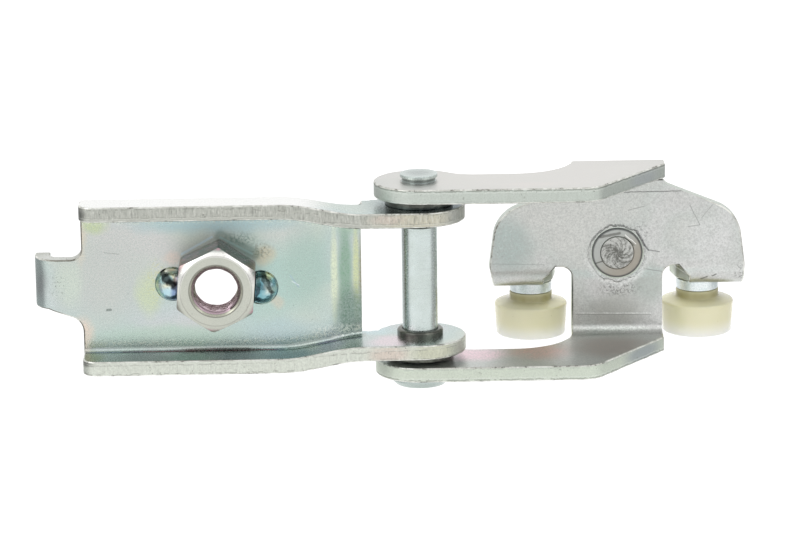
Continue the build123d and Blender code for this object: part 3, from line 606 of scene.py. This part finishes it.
carriageEdgeLook = {
    "lower": srgb(214, 222, 208), "upper": srgb(206, 213, 206),
    "tints": {
        "slopeUpper": ((91, 6, 19.2), (6, 9, 3), srgb(204, 210, 212), 0.9),
        # painted shade on the downward slope
        "slopeLowerShade": ((91, 6, -19.2), (8, 11, 3), srgb(168, 176, 180), 0.95),
        "leftTabEnd": ((72.0, 23, -5), (4, 9, 5), srgb(120, 124, 112), 0.95),
        "rightTabEnd": ((99.8, 23, -5), (4, 9, 5), srgb(112, 116, 104), 0.95),
    },
    "lines": {
        "innerLine": (0.16, 0.06, srgb(176, 182, 174), 0.5, 0.6),
        "outerLight": (0.76, 0.07, srgb(236, 240, 234), 0.5, 0.9),
        "outerBreak": (0.87, 0.05, srgb(112, 116, 106), 0.8, 0.75),
    },
    "streaked": 0.12, "streakDark": srgb(150, 156, 146), "streakLight": srgb(226, 232, 224),
    "chip": srgb(104, 108, 98), "depth": 0.035,
}
rimLook = {
    "bright": srgb(226, 227, 221), "plain": srgb(198, 199, 192), "rubbedAndHighlit": (0.4, 0.52),
    "broken": (0.42, 4.0, 0.72), "grain": (3.0, 2.0, 0.8), "near": (0.8, 0.3),
    "chip": 0.6, "chipShade": srgb(84, 82, 74), "chipRange": (0.58, 0.63), "chipGrain": 0.4, "chipGloss": 0.2,
    "roughness": 0.34, "depth": 0.05,
    "tints": {
        "webLeft": ((-28.4, 0, -9.5), (1.2, 2, 9), srgb(88, 80, 66), 0.85),
        "webLeftHigh": ((-28.4, 0, 10), (1.2, 2, 8), srgb(100, 92, 80), 0.8),
        "hookLow": ((-33, 1, -5.4), (7, 3, 1.8), srgb(80, 78, 70), 0.85),
        "hookHigh": ((-33, 0, 5.1), (7, 1.6, 1.2), srgb(112, 110, 100), 0.8),
        "webRight": ((30.6, 2, 0), (1, 2.5, 17), srgb(78, 70, 50), 0.85),
        "stemLeft": ((75.9, 18.3, -9.5), (1.2, 2.5, 9.5), srgb(74, 78, 72), 0.9),
        "tabLeft": ((72.2, 20, -3.8), (1.6, 5, 4.6), srgb(76, 78, 70), 0.85),
        "tabRight": ((99.6, 20, -3.8), (1.6, 5, 4.6), srgb(76, 78, 70), 0.85),
        # a painted highlight on the rim at the upper flange's left end
        "flangeEndHighlight": ((-28.4, -0.5, 18.2), (0.9, 6.0, 1.2), srgb(255, 255, 255), 1.0),
        "nickFirst": ((21.2, -8, 17.6), (0.5, 0.8, 0.6), srgb(20, 20, 20), 1.0),
        "nickSecond": ((22.6, -8, 17.4), (0.5, 0.8, 0.6), srgb(20, 20, 20), 1.0),
        "nickThird": ((24.1, -8, 17.1), (0.5, 0.8, 0.6), srgb(20, 20, 20), 1.0),
        "nickFourth": ((26.1, -8, 16.7), (0.6, 0.8, 0.5), srgb(16, 16, 16), 1.0),
    },
}
bracketFace = zincFilm("bracketFace", bracketLook)
bracketEdge = shearedEdge("bracketEdge", bracketEdgeLook)
carriageFace = zincFilm("carriageFace", carriageLook)
carriageEdge = shearedEdge("carriageEdge", carriageEdgeLook)
wornEdge = wornRim("wornEdge", rimLook)


# Turned pieces: fine rings round the axis, from noise stretched along them
upright, level = (0.25, 0.25, 3.0), (0.25, 3.0, 0.25)  # the axis stands, or lies from front to back
turnedShared = {
    "rings": (1.0, 3.0, 0.75), "ringRange": (0.56, 0.72), "cloudRange": (0.35, 0.65), "grain": (3.2, 2.0, 0.8),
    "grainBase": 0.3, "grainGloss": 0.2, "grainHeight": 0.4, "pits": (1.6, 2.0, 0.8), "pitRange": (0.68, 0.74),
    "tints": {},
}


def turnedMetal(name, look):
    settings = {**turnedShared, **look}
    finish = Finish(name)
    spot = finish.place()
    rings = finish.noise(finish.stretch(spot, settings["stretch"]), *settings["rings"])
    cloud = finish.noise(spot, settings["cloudScale"])
    grain = finish.noise(spot, *settings["grain"])
    shade = finish.mix(finish.step(cloud, *settings["cloudRange"]), settings["light"], settings["dark"])
    ringed = finish.step(rings, *settings["ringRange"]) * settings["ringed"]
    shade = finish.mix(ringed, shade, settings["ring"])
    shade = finish.paint(shade, spot, settings["tints"])
    sparkle = settings["grainBase"] + (0.5 - grain) * settings["sparkle"]
    shade = finish.mix(sparkle, shade, settings["ring"])
    pits = finish.step(finish.noise(spot, *settings["pits"]), *settings["pitRange"])
    shade = finish.mix(pits * settings["pitted"], shade, settings["ring"])
    height = rings + grain * settings["grainHeight"] - pits
    return finish.shade(Base_Color=shade, Metallic=1.0,
                        Roughness=settings["roughness"] + (grain - 0.5) * settings["grainGloss"],
                        Normal=finish.relief(height, settings["depth"]))


brightPin = turnedMetal("brightPin", {
    "light": srgb(220, 230, 228), "dark": srgb(212, 222, 218), "ring": srgb(144, 154, 152), "ringed": 0.25,
    "pitted": 0.6, "sparkle": 0.5, "roughness": 0.26, "depth": 0.008, "stretch": upright, "cloudScale": 0.25,
    "tints": {
        # painted shade on the neck under the pin's disc
        "neckShade": ((42.8, 1.6, 21.2), (9, 9, 0.7), srgb(92, 96, 94), 0.95),
        "disc": ((42.8, 1.6, 22.5), (4.6, 4.6, 0.5), srgb(160, 168, 166), 0.85),
        "head": ((42.8, 1.6, -22.4), (14, 14, 2.8), srgb(168, 180, 174), 0.9),
    }})
# the collars painted near white to lift the shade under the feet; the rivet heads on top of the feet painted
# back to a plain grey
brightCollar = turnedMetal("brightCollar", {
    "light": srgb(250, 254, 254), "dark": srgb(240, 248, 248), "ring": srgb(176, 192, 194), "ringed": 0.3,
    "pitted": 0.5, "sparkle": 1.4, "roughness": 0.36, "depth": 0.05, "stretch": (1.5, 1.5, 2.0),
    "cloudScale": 0.4,
    "tints": {"rivetHeads": ((85.9, 27.6, -3.6), (60, 30, 1.6), srgb(204, 211, 211), 0.9)}})
bearingSteel = turnedMetal("bearingSteel", {
    "light": srgb(206, 206, 208), "dark": srgb(190, 191, 194), "ring": srgb(136, 136, 140), "ringed": 0.3,
    "pitted": 0.1, "sparkle": 0.2, "roughness": 0.2, "depth": 0.004, "stretch": (3.0, 0.25, 3.0),
    "cloudScale": 0.4})
cageBrass = turnedMetal("cageBrass", {
    "light": srgb(216, 192, 122), "dark": srgb(194, 166, 98), "ring": srgb(130, 108, 64), "ringed": 0.3,
    "pitted": 0.2, "sparkle": 0.3, "roughness": 0.35, "depth": 0.01, "stretch": level, "cloudScale": 0.4})
darkBush = turnedMetal("darkBush", {
    "light": srgb(132, 134, 126), "dark": srgb(96, 98, 92), "ring": srgb(48, 48, 46), "ringed": 0.5,
    "pitted": 0.4, "sparkle": 0.5, "roughness": 0.3, "depth": 0.01, "stretch": upright, "cloudScale": 0.4})


# The staked axle end: swirled where the tool turned, in a ring with painted light at the upper left and painted
# shade, browner, at the lower right
def stakedEnd(name, settings):
    finish = Finish(name)
    spot = finish.place()
    centred = finish.shift(spot, [-part for part in settings["at"]])
    x, _, z = finish.axes(centred)
    radius = finish.distance(finish.stretch(centred, acrossFace), (0, 0, 0))
    turned = finish.node("ShaderNodeVectorRotate", {"rotation_type": "Y_AXIS"},
                         {"Vector": centred, "Angle": radius * settings["twist"]})
    direction = finish.node("ShaderNodeVectorMath", {"operation": "NORMALIZE"},
                            {0: finish.stretch(turned, acrossFace)})
    swirlAt = finish.shift(finish.stretch(direction, settings["swirlStretch"]), settings["swirlPlace"])
    swirl = finish.noise(swirlAt, *settings["swirl"])
    patch = finish.noise(finish.drift(spot, *settings["patchDrift"]), *settings["patch"])
    grain = finish.noise(spot, *settings["grain"])
    inDisc = 1 - finish.step(radius, *settings["discRange"])
    mottle = swirl * settings["swirlShare"] + patch * settings["patchShare"]
    mottle = mottle + (radius - settings["darkRadius"]) * settings["paleOutwards"]
    mottle = finish.step(mottle, *settings["mottleRange"])
    disc = finish.mix(mottle, settings["discDark"], settings["discLight"])
    # painted light and shade on the ring, lighter towards the upper left
    toLight = finish.step(z * settings["lightUp"] - x * settings["lightLeft"], *settings["lightRange"])
    ring = finish.mix(toLight, settings["ringBrown"], settings["ringLight"])
    shade = finish.mix(inDisc, ring, disc)
    near = finish.stretch(finish.drift(spot, *settings["markDrift"]), acrossFace)
    shade = finish.score(shade, near, settings["marks"])
    rim = finish.step(radius, *settings["rimRange"])
    shade = finish.mix(rim * settings["rimStrength"], shade, settings["rimShade"])
    height = mottle * inDisc * settings["discHeight"] + grain * settings["grainHeight"]
    roughness = settings["roughness"] + (patch - 0.5) * settings["patchGloss"] + inDisc * settings["discGloss"]
    return finish.shade(Base_Color=shade, Metallic=1.0, Roughness=roughness,
                        Normal=finish.relief(height, settings["depth"]))


stakedSteel = stakedEnd("stakedSteel", {
    "at": (85.9, 0, 0), "discRange": (3.4, 3.6), "rimRange": (4.9, 5.25), "rimStrength": 0.85,
    "twist": 0.45, "swirl": (1.0, 2.0, 0.7), "swirlStretch": (2.6, 0, 2.6), "swirlPlace": (0, 5, 0),
    "patch": (0.9, 3.0, 0.75), "patchDrift": (0.9, 0.9), "grain": (3.0, 2.0, 0.8), "markDrift": (0.9, 0.15),
    "swirlShare": 0.55, "patchShare": 0.45, "darkRadius": 2, "paleOutwards": 0.02, "mottleRange": (0.42, 0.58),
    "lightUp": 0.75, "lightLeft": 0.65, "lightRange": (-3.6, 2.8), "discHeight": 1.5, "grainHeight": 0.5,
    "roughness": 0.36, "patchGloss": 0.2, "discGloss": 0.1, "depth": 0.05,
    "discDark": srgb(112, 113, 108), "discLight": srgb(198, 199, 195), "rimShade": srgb(82, 84, 84),
    "ringBrown": srgb(162, 157, 147), "ringLight": srgb(176, 179, 175),
    "marks": {
        # a painted highlight on a facet, with painted shade beside it
        "facetHighlight": ((87.6, 0, 3.9), (89.9, 0, 1.9), 0.14, srgb(236, 236, 232), 0.9),
        "facetShade": ((87.4, 0, 3.5), (89.5, 0, 1.6), 0.2, srgb(110, 110, 104), 0.7),
        "tornHigh": ((82.2, 0, 3.6), (86.4, 0, 4.3), 0.4, srgb(112, 112, 108), 0.8),
        "tornLow": ((81.2, 0, -2.3), (82.6, 0, -1.9), 0.22, srgb(104, 104, 100), 0.8),
    }})


# Weld metal: smooth, in the colours of the heat, with painted highlights and painted dark reflections on it
def weldBead(name, settings):
    finish = Finish(name)
    spot = finish.place()
    flat = finish.stretch(finish.drift(spot, *settings["markDrift"]), acrossFace)
    heat = finish.noise(finish.drift(spot, *settings["heatDrift"]), *settings["heat"])
    ripple = finish.noise(spot, *settings["ripple"])
    shade = finish.ramp(heat, settings["heatColours"])
    shade = finish.paint(shade, flat, settings["tints"])
    shade = finish.score(shade, flat, settings["marks"])
    return finish.shade(Base_Color=shade, Metallic=1.0,
                        Roughness=settings["roughness"] + ripple * settings["rippleGloss"],
                        Normal=finish.relief(ripple, settings["depth"]))


weldMetal = weldBead("weldMetal", {
    "heat": (0.2, 1.0, 0.5), "heatDrift": (0.4, 0.8), "markDrift": (0.55, 1.0), "ripple": (0.7, 1.0, 0.5),
    "roughness": 0.12, "rippleGloss": 0.08, "depth": 0.2,
    "heatColours": ((0.36, srgb(150, 190, 204)), (0.47, srgb(206, 218, 212)), (0.54, srgb(222, 216, 186)),
                    (0.62, srgb(170, 200, 200))),
    "tints": {
        "leftLow": ((-10.8, 0, -2.4), (3.2, 1, 3.4), srgb(170, 204, 216), 0.8),
        "contactLeft": ((-8.6, 0, -2.2), (1.5, 1, 4.2), srgb(110, 134, 176), 0.85),
        "contactRight": ((8.9, 0, -1.0), (1.9, 1, 4.4), srgb(96, 152, 166), 0.85),
        "rightLow": ((10.2, 0, -3.2), (2.6, 1, 1.9), srgb(120, 170, 180), 0.8),
        # gold: the heat's gold with a painted highlight; white: a painted highlight
        "goldHighlight": ((11.2, 0, 1.6), (1.6, 1, 1.6), srgb(232, 222, 178), 0.8),
        "white": ((-10.6, 0, 3.1), (1.2, 1, 1.0), srgb(250, 250, 246), 0.9),
    },
    "marks": {
        # painted reflections of dark things across the tacks and along their outlines
        "darkReflectionLeft": ((-11.8, 0, 2.6), (-8.9, 0, 0.0), 1.1, srgb(24, 28, 28), 0.95),
        "footLeft": ((-11.2, 0, -3.4), (-9.0, 0, -4.2), 0.4, srgb(60, 78, 90), 0.8),
        "darkReflectionRight": ((9.4, 0, 1.8), (11.6, 0, -1.8), 0.8, srgb(44, 60, 56), 0.85),
        "capRight": ((10.0, 0, 3.6), (12.2, 0, 2.2), 0.4, srgb(60, 62, 54), 0.8),
    }})


# The nut: crown with a painted highlight above, sides with a violet and green film, bore with a pink one
def platedNut(name, settings):
    finish = Finish(name)
    spot = finish.place()
    _, y, z = finish.axes(spot)
    grain = finish.noise(spot, *settings["grain"])
    away = finish.distance(finish.stretch(spot, acrossFace), (0, 0, 0))
    shade = finish.mix(finish.noise(spot, settings["cloudScale"]), settings["face"], settings["faceDark"])
    # a painted highlight on the upper part of the crown
    crown = finish.step(away, *settings["crownRange"]) * finish.step(z, *settings["crownUpwards"])
    shade = finish.mix(crown, shade, settings["crownHighlight"])
    side = finish.step(y, *settings["sideBack"]) * finish.step(away, *settings["sideRange"])
    film = finish.ramp(finish.noise(spot, settings["filmScale"]), settings["sideFilm"])
    shade = finish.mix(side * settings["sideStrength"], shade, film)
    crownLine = finish.bump(away, *settings["crownLine"])
    shade = finish.mix(crownLine * settings["crownLineStrength"], shade, settings["blemish"])
    inMouth = 1 - finish.step(away, *settings["mouthRange"])
    shade = finish.mix(inMouth * settings["mouthStrength"], shade, settings["mouthShade"])
    mouthRim = finish.bump(away, *settings["mouthRim"]) * settings["mouthRimStrength"]
    threadRim = finish.bump(away, *settings["threadRim"]) * settings["threadRimStrength"]
    shade = finish.mix(mouthRim + threadRim, shade, settings["mouthDark"])
    inBore = 1 - finish.step(away, *settings["boreRange"])
    boreFoot = 1 - finish.step(z, *settings["boreFoot"])
    shade = finish.mix(inBore * boreFoot * settings["boreStrength"], shade, settings["bore"])
    root = finish.step(away, *settings["rootRange"]) * inBore
    shade = finish.mix(root * settings["rootStrength"], shade, settings["root"])
    blemish = finish.step(finish.noise(spot, *settings["blemishes"]), *settings["blemishRange"])
    shade = finish.mix(blemish * settings["blemishStrength"], shade, settings["blemish"])
    sparkle = settings["grainBase"] + (0.5 - grain) * settings["grainStrength"]
    shade = finish.mix(sparkle, shade, settings["blemish"])
    return finish.shade(Base_Color=shade, Metallic=1.0,
                        Roughness=settings["roughness"] + (grain - 0.5) * settings["grainGloss"],
                        Normal=finish.relief(grain - blemish * settings["blemishHeight"], settings["depth"]))


nutSteel = platedNut("nutSteel", {
    "face": srgb(200, 201, 190), "faceDark": srgb(188, 192, 182), "cloudScale": 0.25,
    "crownRange": (7.2, 7.5), "crownUpwards": (-3.0, 4.0), "crownHighlight": srgb(250, 250, 246),
    "crownLine": (7.5, 0.2), "crownLineStrength": 0.5,
    "sideBack": (-8.1, -7.6), "sideRange": (6.4, 7.0), "sideStrength": 0.9, "filmScale": 0.22,
    "sideFilm": ((0.38, srgb(128, 128, 120)), (0.48, srgb(172, 136, 146)), (0.56, srgb(104, 124, 114)),
                 (0.64, srgb(152, 122, 122))),
    "mouthRange": (5.4, 5.65), "mouthShade": srgb(170, 170, 154), "mouthStrength": 0.8,
    "mouthRim": (5.62, 0.22), "mouthRimStrength": 0.75, "mouthDark": srgb(84, 84, 74),
    "threadRim": (5.1, 0.16), "threadRimStrength": 0.5,
    "boreRange": (4.95, 5.15), "boreFoot": (-2.4, -1.2), "bore": srgb(252, 226, 240), "boreStrength": 0.8,
    "rootRange": (4.6, 4.85), "root": srgb(150, 126, 138), "rootStrength": 0.75,
    "blemishes": (0.9, 3.0, 0.8), "blemishRange": (0.63, 0.7), "blemish": srgb(140, 138, 132),
    "blemishStrength": 0.5, "blemishHeight": 0.6,
    "grain": (2.8, 3.0, 0.8), "grainBase": 0.12, "grainStrength": 0.35, "grainGloss": 0.12,
    "roughness": 0.26, "depth": 0.01,
})


# Moulded nylon: light goes a little way into it
def mouldedNylon(name, settings):
    finish = Finish(name)
    spot = finish.place()
    cloud = finish.noise(spot, settings["cloudScale"])
    grain = finish.noise(spot, *settings["grain"])
    shade = finish.mix(cloud, settings["light"], settings["dark"])
    shade = finish.paint(shade, spot, settings["tints"])
    speck = finish.step(finish.noise(spot, *settings["specks"]), *settings["speckRange"])
    shade = finish.mix(speck * settings["speckStrength"], shade, settings["speck"])
    roughness = settings["roughness"] + (cloud - 0.5) * settings["cloudGloss"]
    return finish.shade(Base_Color=shade, Roughness=roughness, Subsurface_Weight=settings["inLight"],
                        Subsurface_Radius=settings["inLightRadius"],
                        Subsurface_Scale=settings["inLightDepth"] * mm,
                        Normal=finish.relief(grain, settings["depth"]))


def rollerTints(x, y=27.6):
    # painted shade and reflection in the corner under the hub, and a foot painted paler as if lit from below,
    # round a roller's axis at x, y
    return {f"hub{x}": ((x, y, -11.4), (8.6, 8.6, 2.4), srgb(134, 126, 52), 0.85),
            f"foot{x}": ((x, y, -21.2), (20, 20, 5.6), srgb(255, 255, 252), 0.95)}


creamNylon = mouldedNylon("creamNylon", {
    "light": srgb(242, 238, 206), "dark": srgb(238, 233, 194), "cloudScale": 0.16,
    "speck": srgb(170, 160, 110), "specks": (1.2, 2.0, 0.8), "speckRange": (0.72, 0.76), "speckStrength": 0.4,
    "grain": (2.5, 2.0, 0.6), "depth": 0.006, "roughness": 0.1, "cloudGloss": 0.06,
    "inLight": 0.15, "inLightRadius": (1.0, 0.9, 0.6), "inLightDepth": 1.6,
    "tints": {**rollerTints(67.7), **rollerTints(104.1)}})
print("finishes made")


# Weld nut: the CAD nut with a cut thread and a countersink at the seat
nutLook = {"pitch": 1.5, "crest": 4.47, "root": 5.05, "height": 8.4, "seatMouth": 5.75, "seatDepth": 2.2,
           "around": 72, "perTurn": 10, "overrun": 0.4, "flank": 1.25, "edge": 0.3, "edgeAngle": 16}


def threadCutter():
    # a threaded rod, which widens to a cone where the nut sits on the web
    look = nutLook
    work = bmesh.new()
    rows = ceil((look["height"] + 2 * look["overrun"]) / look["pitch"] * look["perTurn"])
    rings = []
    for row in range(rows + 1):
        y = look["overrun"] - row * (look["height"] + 2 * look["overrun"]) / rows
        cone = look["seatMouth"] + y * (look["seatMouth"] - look["crest"]) / look["seatDepth"]
        ring = []
        for step in range(look["around"]):
            turn = step / look["around"]
            # up and down once in a pitch, cut off at the root, where the thread has a flat
            wave = abs((y / look["pitch"] + turn) % 1.0 - 0.5) * 2
            radius = max(look["crest"] + (look["root"] - look["crest"]) * min(1.0, look["flank"] * wave), cone)
            x, z = radius * cos(2 * pi * turn), radius * sin(2 * pi * turn)
            ring.append(work.verts.new(Vector((x, y, z)) * mm))
        rings.append(ring)
    for lower, upper in zip(rings, rings[1:]):
        for step in range(look["around"]):
            after = (step + 1) % look["around"]
            work.faces.new((lower[step], lower[after], upper[after], upper[step]))
    work.faces.new(rings[0])
    work.faces.new(list(reversed(rings[-1])))
    bmesh.ops.recalc_face_normals(work, faces=work.faces)
    mesh = bpy.data.meshes.new("threadCutter")
    work.to_mesh(mesh)
    work.free()
    return bpy.data.objects.new("threadCutter", mesh)


def cutAway(piece, cutter):
    # takes the cutter's shape out of the piece, leaving no modifier behind
    scene.collection.objects.link(cutter)
    cut = piece.modifiers.new("cut", "BOOLEAN")
    cut.object = cutter
    cut.solver = "EXACT"
    settled = bpy.data.meshes.new_from_object(piece.evaluated_get(bpy.context.evaluated_depsgraph_get()))
    piece.modifiers.clear()
    piece.data = settled
    settled.set_sharp_from_angle(angle=radians(smoothAngle))
    bpy.data.objects.remove(cutter)


weldNut = addPiece("weldNut", nodeMesh("weld_nut"), "door_bracket", [nutSteel], ["weld_nut"])
roundEdges(weldNut, nutLook["edge"], nutLook["edgeAngle"])
cutAway(weldNut, threadCutter())


# Tack welds: lumpy beads, pressed in here and there and never out
tackLook = {"cuts": 2, "lumpScale": 0.3, "lump": 0.45, "clear": 0.05, "sharp": 50}


def tackPiece(name, node):
    work = nodeMesh(node)
    bmesh.ops.triangulate(work, faces=work.faces)
    bmesh.ops.subdivide_edges(work, edges=work.edges, cuts=tackLook["cuts"], use_grid_fill=True)
    work.normal_update()
    lowest = -tackLook["clear"] * mm
    moved = {}
    for vertex in work.verts:
        if vertex.co.y < lowest:
            # the noise runs from -1 to 1, and the lump from 0 to 1
            lump = 0.5 + 0.5 * noise.noise(vertex.co / mm * tackLook["lumpScale"])
            moved[vertex] = vertex.co - vertex.normal * lump * tackLook["lump"] * mm
    for vertex, place in moved.items():
        vertex.co = place
    addPiece(name, work, "door_bracket", [weldMetal], [node], tackLook["sharp"])


tackPiece("leftWeldTack", "left_weld_tack")
tackPiece("rightWeldTack", "right_weld_tack")

# The pressings: a point on the inner surface, nicks in the rims (place, reach and depth), and the pin and
# axle holes and the ends of two folds, whose rims stay clean (place and reach)
bracketRims = {
    "innerPoint": (-20, 0, 4),
    "nicks": [((x, -8.0, z), 0.55, 0.5) for x, z in ((21.2, 17.9), (22.6, 17.7), (24.1, 17.4), (26.1, 17.0))],
    "clean": [((42.8, 1.6, 14.3), 7), ((42.8, 1.6, -14.3), 7), ((30.6, 2.5, 13), 2.4), ((30.6, 2.5, -13), 2.4)],
}
carriageRims = {
    "innerPoint": (85.9, 18.3, -12),
    "nicks": [((51.3, -7.9, 17.6), 0.6, 0.6)],
    "clean": [((42.8, 1.6, 19.2), 6.5), ((42.8, 1.6, -19.2), 6.5), ((85.9, 19.9, 0), 7),
              ((95.6, 18.5, 17.5), 3.6), ((95.6, 18.5, -17.5), 3.6)],
}
sheetPiece("doorBracket", "door_bracket", "door_bracket", "zinc_plated_bracket",
           [bracketFace, bracketEdge, wornEdge], **bracketRims)
sheetPiece("carriageFrame", "carriage_frame", "carriage", "zinc_plated_carriage",
           [carriageFace, carriageEdge, wornEdge], **carriageRims)

# Plain pieces: name, node, body, slot, finish and how far their edges are rounded
plainPieces = (
    ("upperBush", "upper_bush", "door_bracket", "dark_bush", darkBush, 0.15),
    ("lowerBush", "lower_bush", "door_bracket", "dark_bush", darkBush, 0.15),
    ("hingePin", "hinge_pin", "carriage", "bright_pin", brightPin, 0.1),
    ("leftRollerPin", "left_roller_pin", "carriage", "bright_pin", brightCollar, 0.15),
    ("rightRollerPin", "right_roller_pin", "carriage", "bright_pin", brightCollar, 0.15),
    ("leftRetainingWasher", "left_retaining_washer", "carriage", "bright_pin", brightCollar, 0.1),
    ("rightRetainingWasher", "right_retaining_washer", "carriage", "bright_pin", brightCollar, 0.1),
    ("loadRollerAxle", "load_roller_axle", "carriage", "staked_axle", stakedSteel, 0.08),
    ("spacerWasher", "spacer_washer", "carriage", "bright_pin", brightCollar, 0.1),
    ("bearingInnerRing", "bearing_inner_ring", "carriage", "bearing_steel", bearingSteel, 0.1),
    ("leftGuideRoller", "left_guide_roller", "left_guide_roller", "cream_nylon", creamNylon, 0.25),
    ("rightGuideRoller", "right_guide_roller", "right_guide_roller", "cream_nylon", creamNylon, 0.25),
    ("bearingOuterRing", "bearing_outer_ring", "load_roller", "bearing_steel", bearingSteel, 0.1),
    ("loadRollerTyre", "load_roller_tyre", "load_roller", "cream_nylon", creamNylon, 0.3),
    ("frontBearingShield", "front_bearing_shield", "load_roller", "bearing_steel", bearingSteel, 0.03),
    ("rearBearingShield", "rear_bearing_shield", "load_roller", "bearing_steel", bearingSteel, 0.03),
)
for name, node, body, slot, finish, edge in plainPieces:
    piece = addPiece(name, nodeMesh(node), body, [finish], [node])
    roundEdges(piece, edge)
for node, finish in (("bearing_balls", bearingSteel), ("bearing_cage", cageBrass)):
    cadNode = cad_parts[node]
    cadNode.data.materials.clear()
    cadNode.data.materials.append(finish)
print("pieces made")

# Camera, from the photograph's viewing angle
view = {"target": (38.676, 1.6, 2.103), "yaw": -1.173, "rise": 14.554, "roll": -0.674,
        "distance": 815.2, "lens": 173.84, "sensor": 36.0, "clipStart": 0.01}
yaw, rise, roll = (radians(view[key]) for key in ("yaw", "rise", "roll"))
back = Vector((sin(yaw) * cos(rise), -cos(yaw) * cos(rise), sin(rise)))
right = (-back).cross(Vector((0, 0, 1))).normalized()
up = back.cross(right)
right, up = right * cos(roll) + up * sin(roll), up * cos(roll) - right * sin(roll)
camera = bpy.data.objects.new("camera", bpy.data.cameras.new("camera"))
scene.collection.objects.link(camera)
camera.data.lens = view["lens"]
camera.data.sensor_width = view["sensor"]
camera.data.clip_start = view["clipStart"]
camera.matrix_world = Matrix.Translation((Vector(view["target"]) + back * view["distance"]) * mm) @ Matrix(
    (right, up, back)).transposed().to_4x4()
scene.camera = camera

# Floor, well below the part: white to the camera, and dimmer to the sides for what it lights and what
# mirrors it, as in a light tent
stage = {
    "middle": (40, 0, 0), "floorDrop": 75, "floorSize": 3.0, "paper": (0.8, 0.8, 0.8), "paperRough": 0.9,
    "sidePaper": (0.42, 0.42, 0.43), "sideRange": (130, 250), "sideForwards": (-100, -10),
    "farRange": (300, 700), "nearGlow": 0.25, "sideGlow": 0.5, "mirrorGlow": 0.3, "mirrorSideLoss": 0.25,
    "worldSoft": 0.6, "worldMirror": 1.1, "frontDark": 0.45, "frontRange": (0.0, 0.5), "darkUpTo": (0.35, 0.6),
}
floorMiddle = (stage["middle"][0], stage["middle"][1], -stage["floorDrop"])
bpy.ops.mesh.primitive_plane_add(size=stage["floorSize"], location=[part * mm for part in floorMiddle])
floor = bpy.context.object
floor.name = "floor"
paper = Finish("floorPaper")
rayOutputs = paper.node("ShaderNodeLightPath").socket.node.outputs
toLens = Wire(paper, rayOutputs["Is Camera Ray"])
toMirror = Wire(paper, rayOutputs["Is Glossy Ray"]) + Wire(paper, rayOutputs["Is Transmission Ray"])
ground = paper.place()
across, along, _ = paper.axes(ground)
toSide = paper.step(paper.size(across - stage["middle"][0]), *stage["sideRange"])
toSide = toSide * paper.step(along, *stage["sideForwards"])
faraway = paper.step(paper.distance(ground, floorMiddle), *stage["farRange"])
faraway = faraway * (1 - stage["nearGlow"]) + stage["nearGlow"]
glow = toLens * (faraway + toSide * stage["sideGlow"])
glow = glow + toMirror * (stage["mirrorGlow"] - toSide * stage["mirrorSideLoss"])
paper.shade(Base_Color=paper.mix(toSide, stage["paper"], stage["sidePaper"]), Roughness=stage["paperRough"],
            Specular_IOR_Level=0.0, Emission_Color=paper.mix(glow, (0, 0, 0), (1, 1, 1)), Emission_Strength=1.0)
floor.data.materials.append(paper.owner)

# Sky: even and white, darker in the front for what mirrors it, as a room is behind a camera
sky = Finish(world=scene.world or bpy.data.worlds.new("sky"))
scene.world = sky.owner
skyRays = sky.node("ShaderNodeLightPath").socket.node.outputs
toEye = Wire(sky, skyRays["Is Camera Ray"])
toGloss = Wire(sky, skyRays["Is Glossy Ray"]) + Wire(sky, skyRays["Is Transmission Ray"])
_, backwards, height = sky.axes(sky.node("ShaderNodeTexCoord", output="Generated"))
front = sky.step(backwards * -1, *stage["frontRange"])
dark = front * (1 - sky.step(height, *stage["darkUpTo"]))
glossLevel = stage["worldMirror"] - stage["frontDark"] * dark
lit = toEye + (1 - toEye) * (toGloss * glossLevel + (1 - toGloss) * stage["worldSoft"])
background = sky.node("ShaderNodeBackground", None, {"Color": (1, 1, 1), "Strength": lit})
sky.node("ShaderNodeOutputWorld", None, {"Surface": background})

lamps = {
    "topLamp": {"at": (0.0, 0.15, 0.8), "size": 0.7, "watts": 4.0, "mirrored": False},
    "leftLamp": {"at": (-0.6, -0.5, 0.5), "size": 0.6, "watts": 2.0, "mirrored": True},
    "rightLamp": {"at": (0.65, -0.6, 0.5), "size": 0.6, "watts": 1.2, "mirrored": True},
}
for name, lamp in lamps.items():
    light = bpy.data.lights.new(name, "AREA")
    light.energy = lamp["watts"]
    light.size = lamp["size"]
    holder = bpy.data.objects.new(name, light)
    scene.collection.objects.link(holder)
    holder.location = lamp["at"]
    holder.visible_glossy = lamp["mirrored"]  # seen in level metal, the top lamp would blot out its colour
    aim = Vector(stage["middle"]) * mm - holder.location
    holder.rotation_euler = aim.to_track_quat("-Z", "Y").to_euler()
scene.view_settings.view_transform = "Standard"
print("camera and light set")
